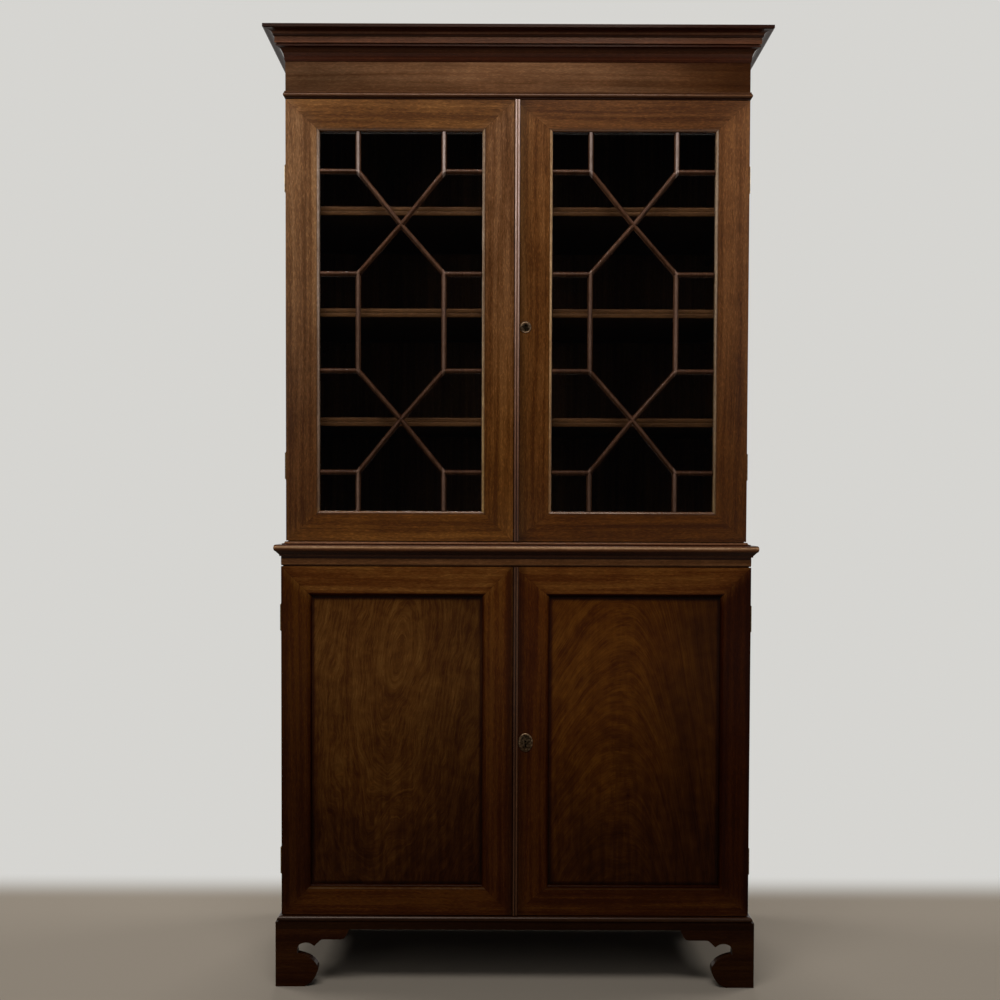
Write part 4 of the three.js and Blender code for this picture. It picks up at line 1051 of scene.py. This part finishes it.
def add_screws(leaf, material):
    """The screw heads on the open face of one hinge leaf, which looks back on a door's leaf and
    forwards on a case leaf."""
    low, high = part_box(leaf)
    on_door = leaf.endswith("_door_leaf")
    side = 1 if low.x > 0 else -1
    out = 1 if on_door else -1
    y_face = (low.y + high.y) / 2 - out * LEAF_HALF_GAP
    inner = low.x if side > 0 else high.x
    points, faces = [], []
    for i, (across, share) in enumerate(SCREW_PLACES):
        centre = (inner + side * (LEAF_WIDTH / 2 + across), low.z + (high.z - low.z) * share)
        slot = SLOT_TURN * i + FIRST_SLOT
        for start in (slot, slot + math.pi):
            more, more_faces = half_disc(centre, y_face, out, start)
            faces += [tuple(k + len(points) for k in face) for face in more_faces]
            points += more
    made = mesh_object(leaf + "_screws", points, faces, material)
    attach(made, leaf.split("_hinge_")[0] if on_door else "case")


def add_hinge_screws():
    material = aged_brass("screw_brass", *SCREW_BRASS)
    for name in NODES:
        if name.endswith("_leaf"):
            add_screws(name, material)


# Studio: the backdrop, the dark that the front mirrors, and the dim light from all round
BACKDROP = (0.672, 0.665, 0.640)
DARK_SIDE = (0.006, 0.006, 0.007)
DARK_REACH = (-0.93, -0.10)
AMBIENT = (0.032, 0.033, 0.035)

# Floor, and the distances between which it passes into the backdrop
FLOOR_TONE = (0.286, 0.246, 0.198)
FLOOR_HALF = 14.0
FLOOR_BEHIND = (0.32, 0.54)
FLOOR_BESIDE = (2.4, 4.2)
FLOOR_BEFORE = (2.6, 4.4)

# What the lamps face
UPPER_FRONT = (0.0, -0.2, 1.7)
MIDDLE = (0.0, 0.1, 1.2)
BACK_MIDDLE = (0.0, 0.24, 1.1)


def seen_directly(g, mirrors=True):
    """1 for what the camera sees, also through glass and in mirrors, and 0 for scattered light."""
    path = g.add("ShaderNodeLightPath")
    straight = g.maths("LESS_THAN", path.outputs["Glossy Depth"], 0.5)
    through = g.maths("MULTIPLY", path.outputs["Is Transmission Ray"], straight)
    seen = g.maths("ADD", path.outputs["Is Camera Ray"], through)
    if mirrors:
        seen = g.maths("ADD", seen, path.outputs["Is Glossy Ray"])
    unscattered = g.maths("LESS_THAN", path.outputs["Diffuse Depth"], 0.5)
    return g.maths("MULTIPLY", g.maths("MINIMUM", seen, 1.0), unscattered)


def floor_material():
    """A plain pale floor near the piece that passes into the backdrop further off."""
    material, g, shader = new_material("studio_floor")
    x, y, _ = g.split(g.place())
    behind = g.fade(y, *FLOOR_BEHIND)
    beside = g.fade(g.maths("ABSOLUTE", x), *FLOOR_BESIDE)
    before = g.fade(g.maths("MULTIPLY", y, -1.0), *FLOOR_BEFORE)
    away = g.maths("MAXIMUM", g.maths("MAXIMUM", behind, beside), before)
    shader.inputs["Base Color"].default_value = (*FLOOR_TONE, 1.0)
    shader.inputs["Roughness"].default_value = 1.0
    shader.inputs["Specular IOR Level"].default_value = 0.0
    glow = g.add("ShaderNodeEmission")
    glow.inputs["Color"].default_value = (*BACKDROP, 1.0)
    mix_output(material, g, g.maths("MULTIPLY", away, seen_directly(g)), shader, glow)
    return material


def add_floor():
    low, high = -FLOOR_HALF, FLOOR_HALF
    points = [(low, low, 0), (high, low, 0), (high, high, 0), (low, high, 0)]
    mesh_object("studio_floor", points, [(0, 1, 2, 3)], floor_material())


def add_world():
    """Pale behind and beside the piece, dark on the side that its front mirrors, dim as a lamp."""
    world = bpy.data.worlds.new("studio")
    world.use_nodes = True
    bpy.context.scene.world = world
    g = Graph(world.node_tree)
    y = g.split(g.add("ShaderNodeTexCoord").outputs["Generated"])[DEEP]
    mirrored = g.mix(g.fade(y, *DARK_REACH), DARK_SIDE, BACKDROP)
    tone = g.mix(g.add("ShaderNodeLightPath").outputs["Is Glossy Ray"], AMBIENT, mirrored)
    tone = g.mix(seen_directly(g, mirrors=False), tone, BACKDROP)
    background = next(n for n in world.node_tree.nodes if n.type == "BACKGROUND")
    g.feed(background.inputs["Color"], tone)
    background.inputs["Strength"].default_value = 1.0


def add_lamp(name, place, target, size, power):
    data = bpy.data.lights.new(name, "AREA")
    data.shape = "RECTANGLE"
    data.size, data.size_y = size
    data.energy = power
    lamp = bpy.data.objects.new(name, data)
    bpy.context.scene.collection.objects.link(lamp)
    lamp.location = place
    lamp.rotation_euler = (Vector(target) - Vector(place)).to_track_quat("-Z", "Y").to_euler()


def add_lamps():
    """A soft lamp over the front, a tall strip on each side of it, and fills beside and behind."""
    add_lamp("softbox_top", place=(-0.40, -1.70, 3.55), target=UPPER_FRONT, size=(2.4, 0.8), power=60.0)
    for hand, side, power in (("left", -1, 7.0), ("right", 1, 4.5)):
        add_lamp("strip_" + hand, place=(1.45 * side, -2.6, 2.3), target=UPPER_FRONT, size=(0.32, 1.8),
                 power=power)
        add_lamp("fill_" + hand, place=(3.0 * side, 0.8, 3.2), target=MIDDLE, size=(1.2, 1.2), power=55.0)
    add_lamp("fill_back", place=(0.0, 3.0, 4.3), target=BACK_MIDDLE, size=(2.4, 1.2), power=90.0)


# Camera: focal length and upward shift as shares of the picture's width, place and turns
SENSOR = 36.0
FOCAL_SHARE = 1.040
CAMERA_SHIFT = 0.0338
CAMERA_PLACE = (-0.038, -2.633, 1.1277)
CAMERA_PITCH = math.radians(-1.45)
CAMERA_ROLL = math.radians(0.20)


def add_camera():
    data = bpy.data.cameras.new("camera")
    data.sensor_width = SENSOR
    data.lens = SENSOR * FOCAL_SHARE
    data.shift_y = CAMERA_SHIFT
    camera = bpy.data.objects.new("camera", data)
    bpy.context.scene.collection.objects.link(camera)
    tilt = Matrix.Rotation(math.radians(90) + CAMERA_PITCH, 3, "X")
    camera.location = CAMERA_PLACE
    camera.rotation_euler = (tilt @ Matrix.Rotation(CAMERA_ROLL, 3, "Z")).to_euler()
    bpy.context.scene.camera = camera


finish_doors()
finish_panels()
finish_mouldings()
finish_boards()
finish_base()
finish_inside()
finish_bars_and_beads()
finish_fittings()
glaze_doors()
add_hinge_screws()
add_floor()
add_world()
add_lamps()
add_camera()
bpy.context.scene.view_settings.view_transform = "Standard"
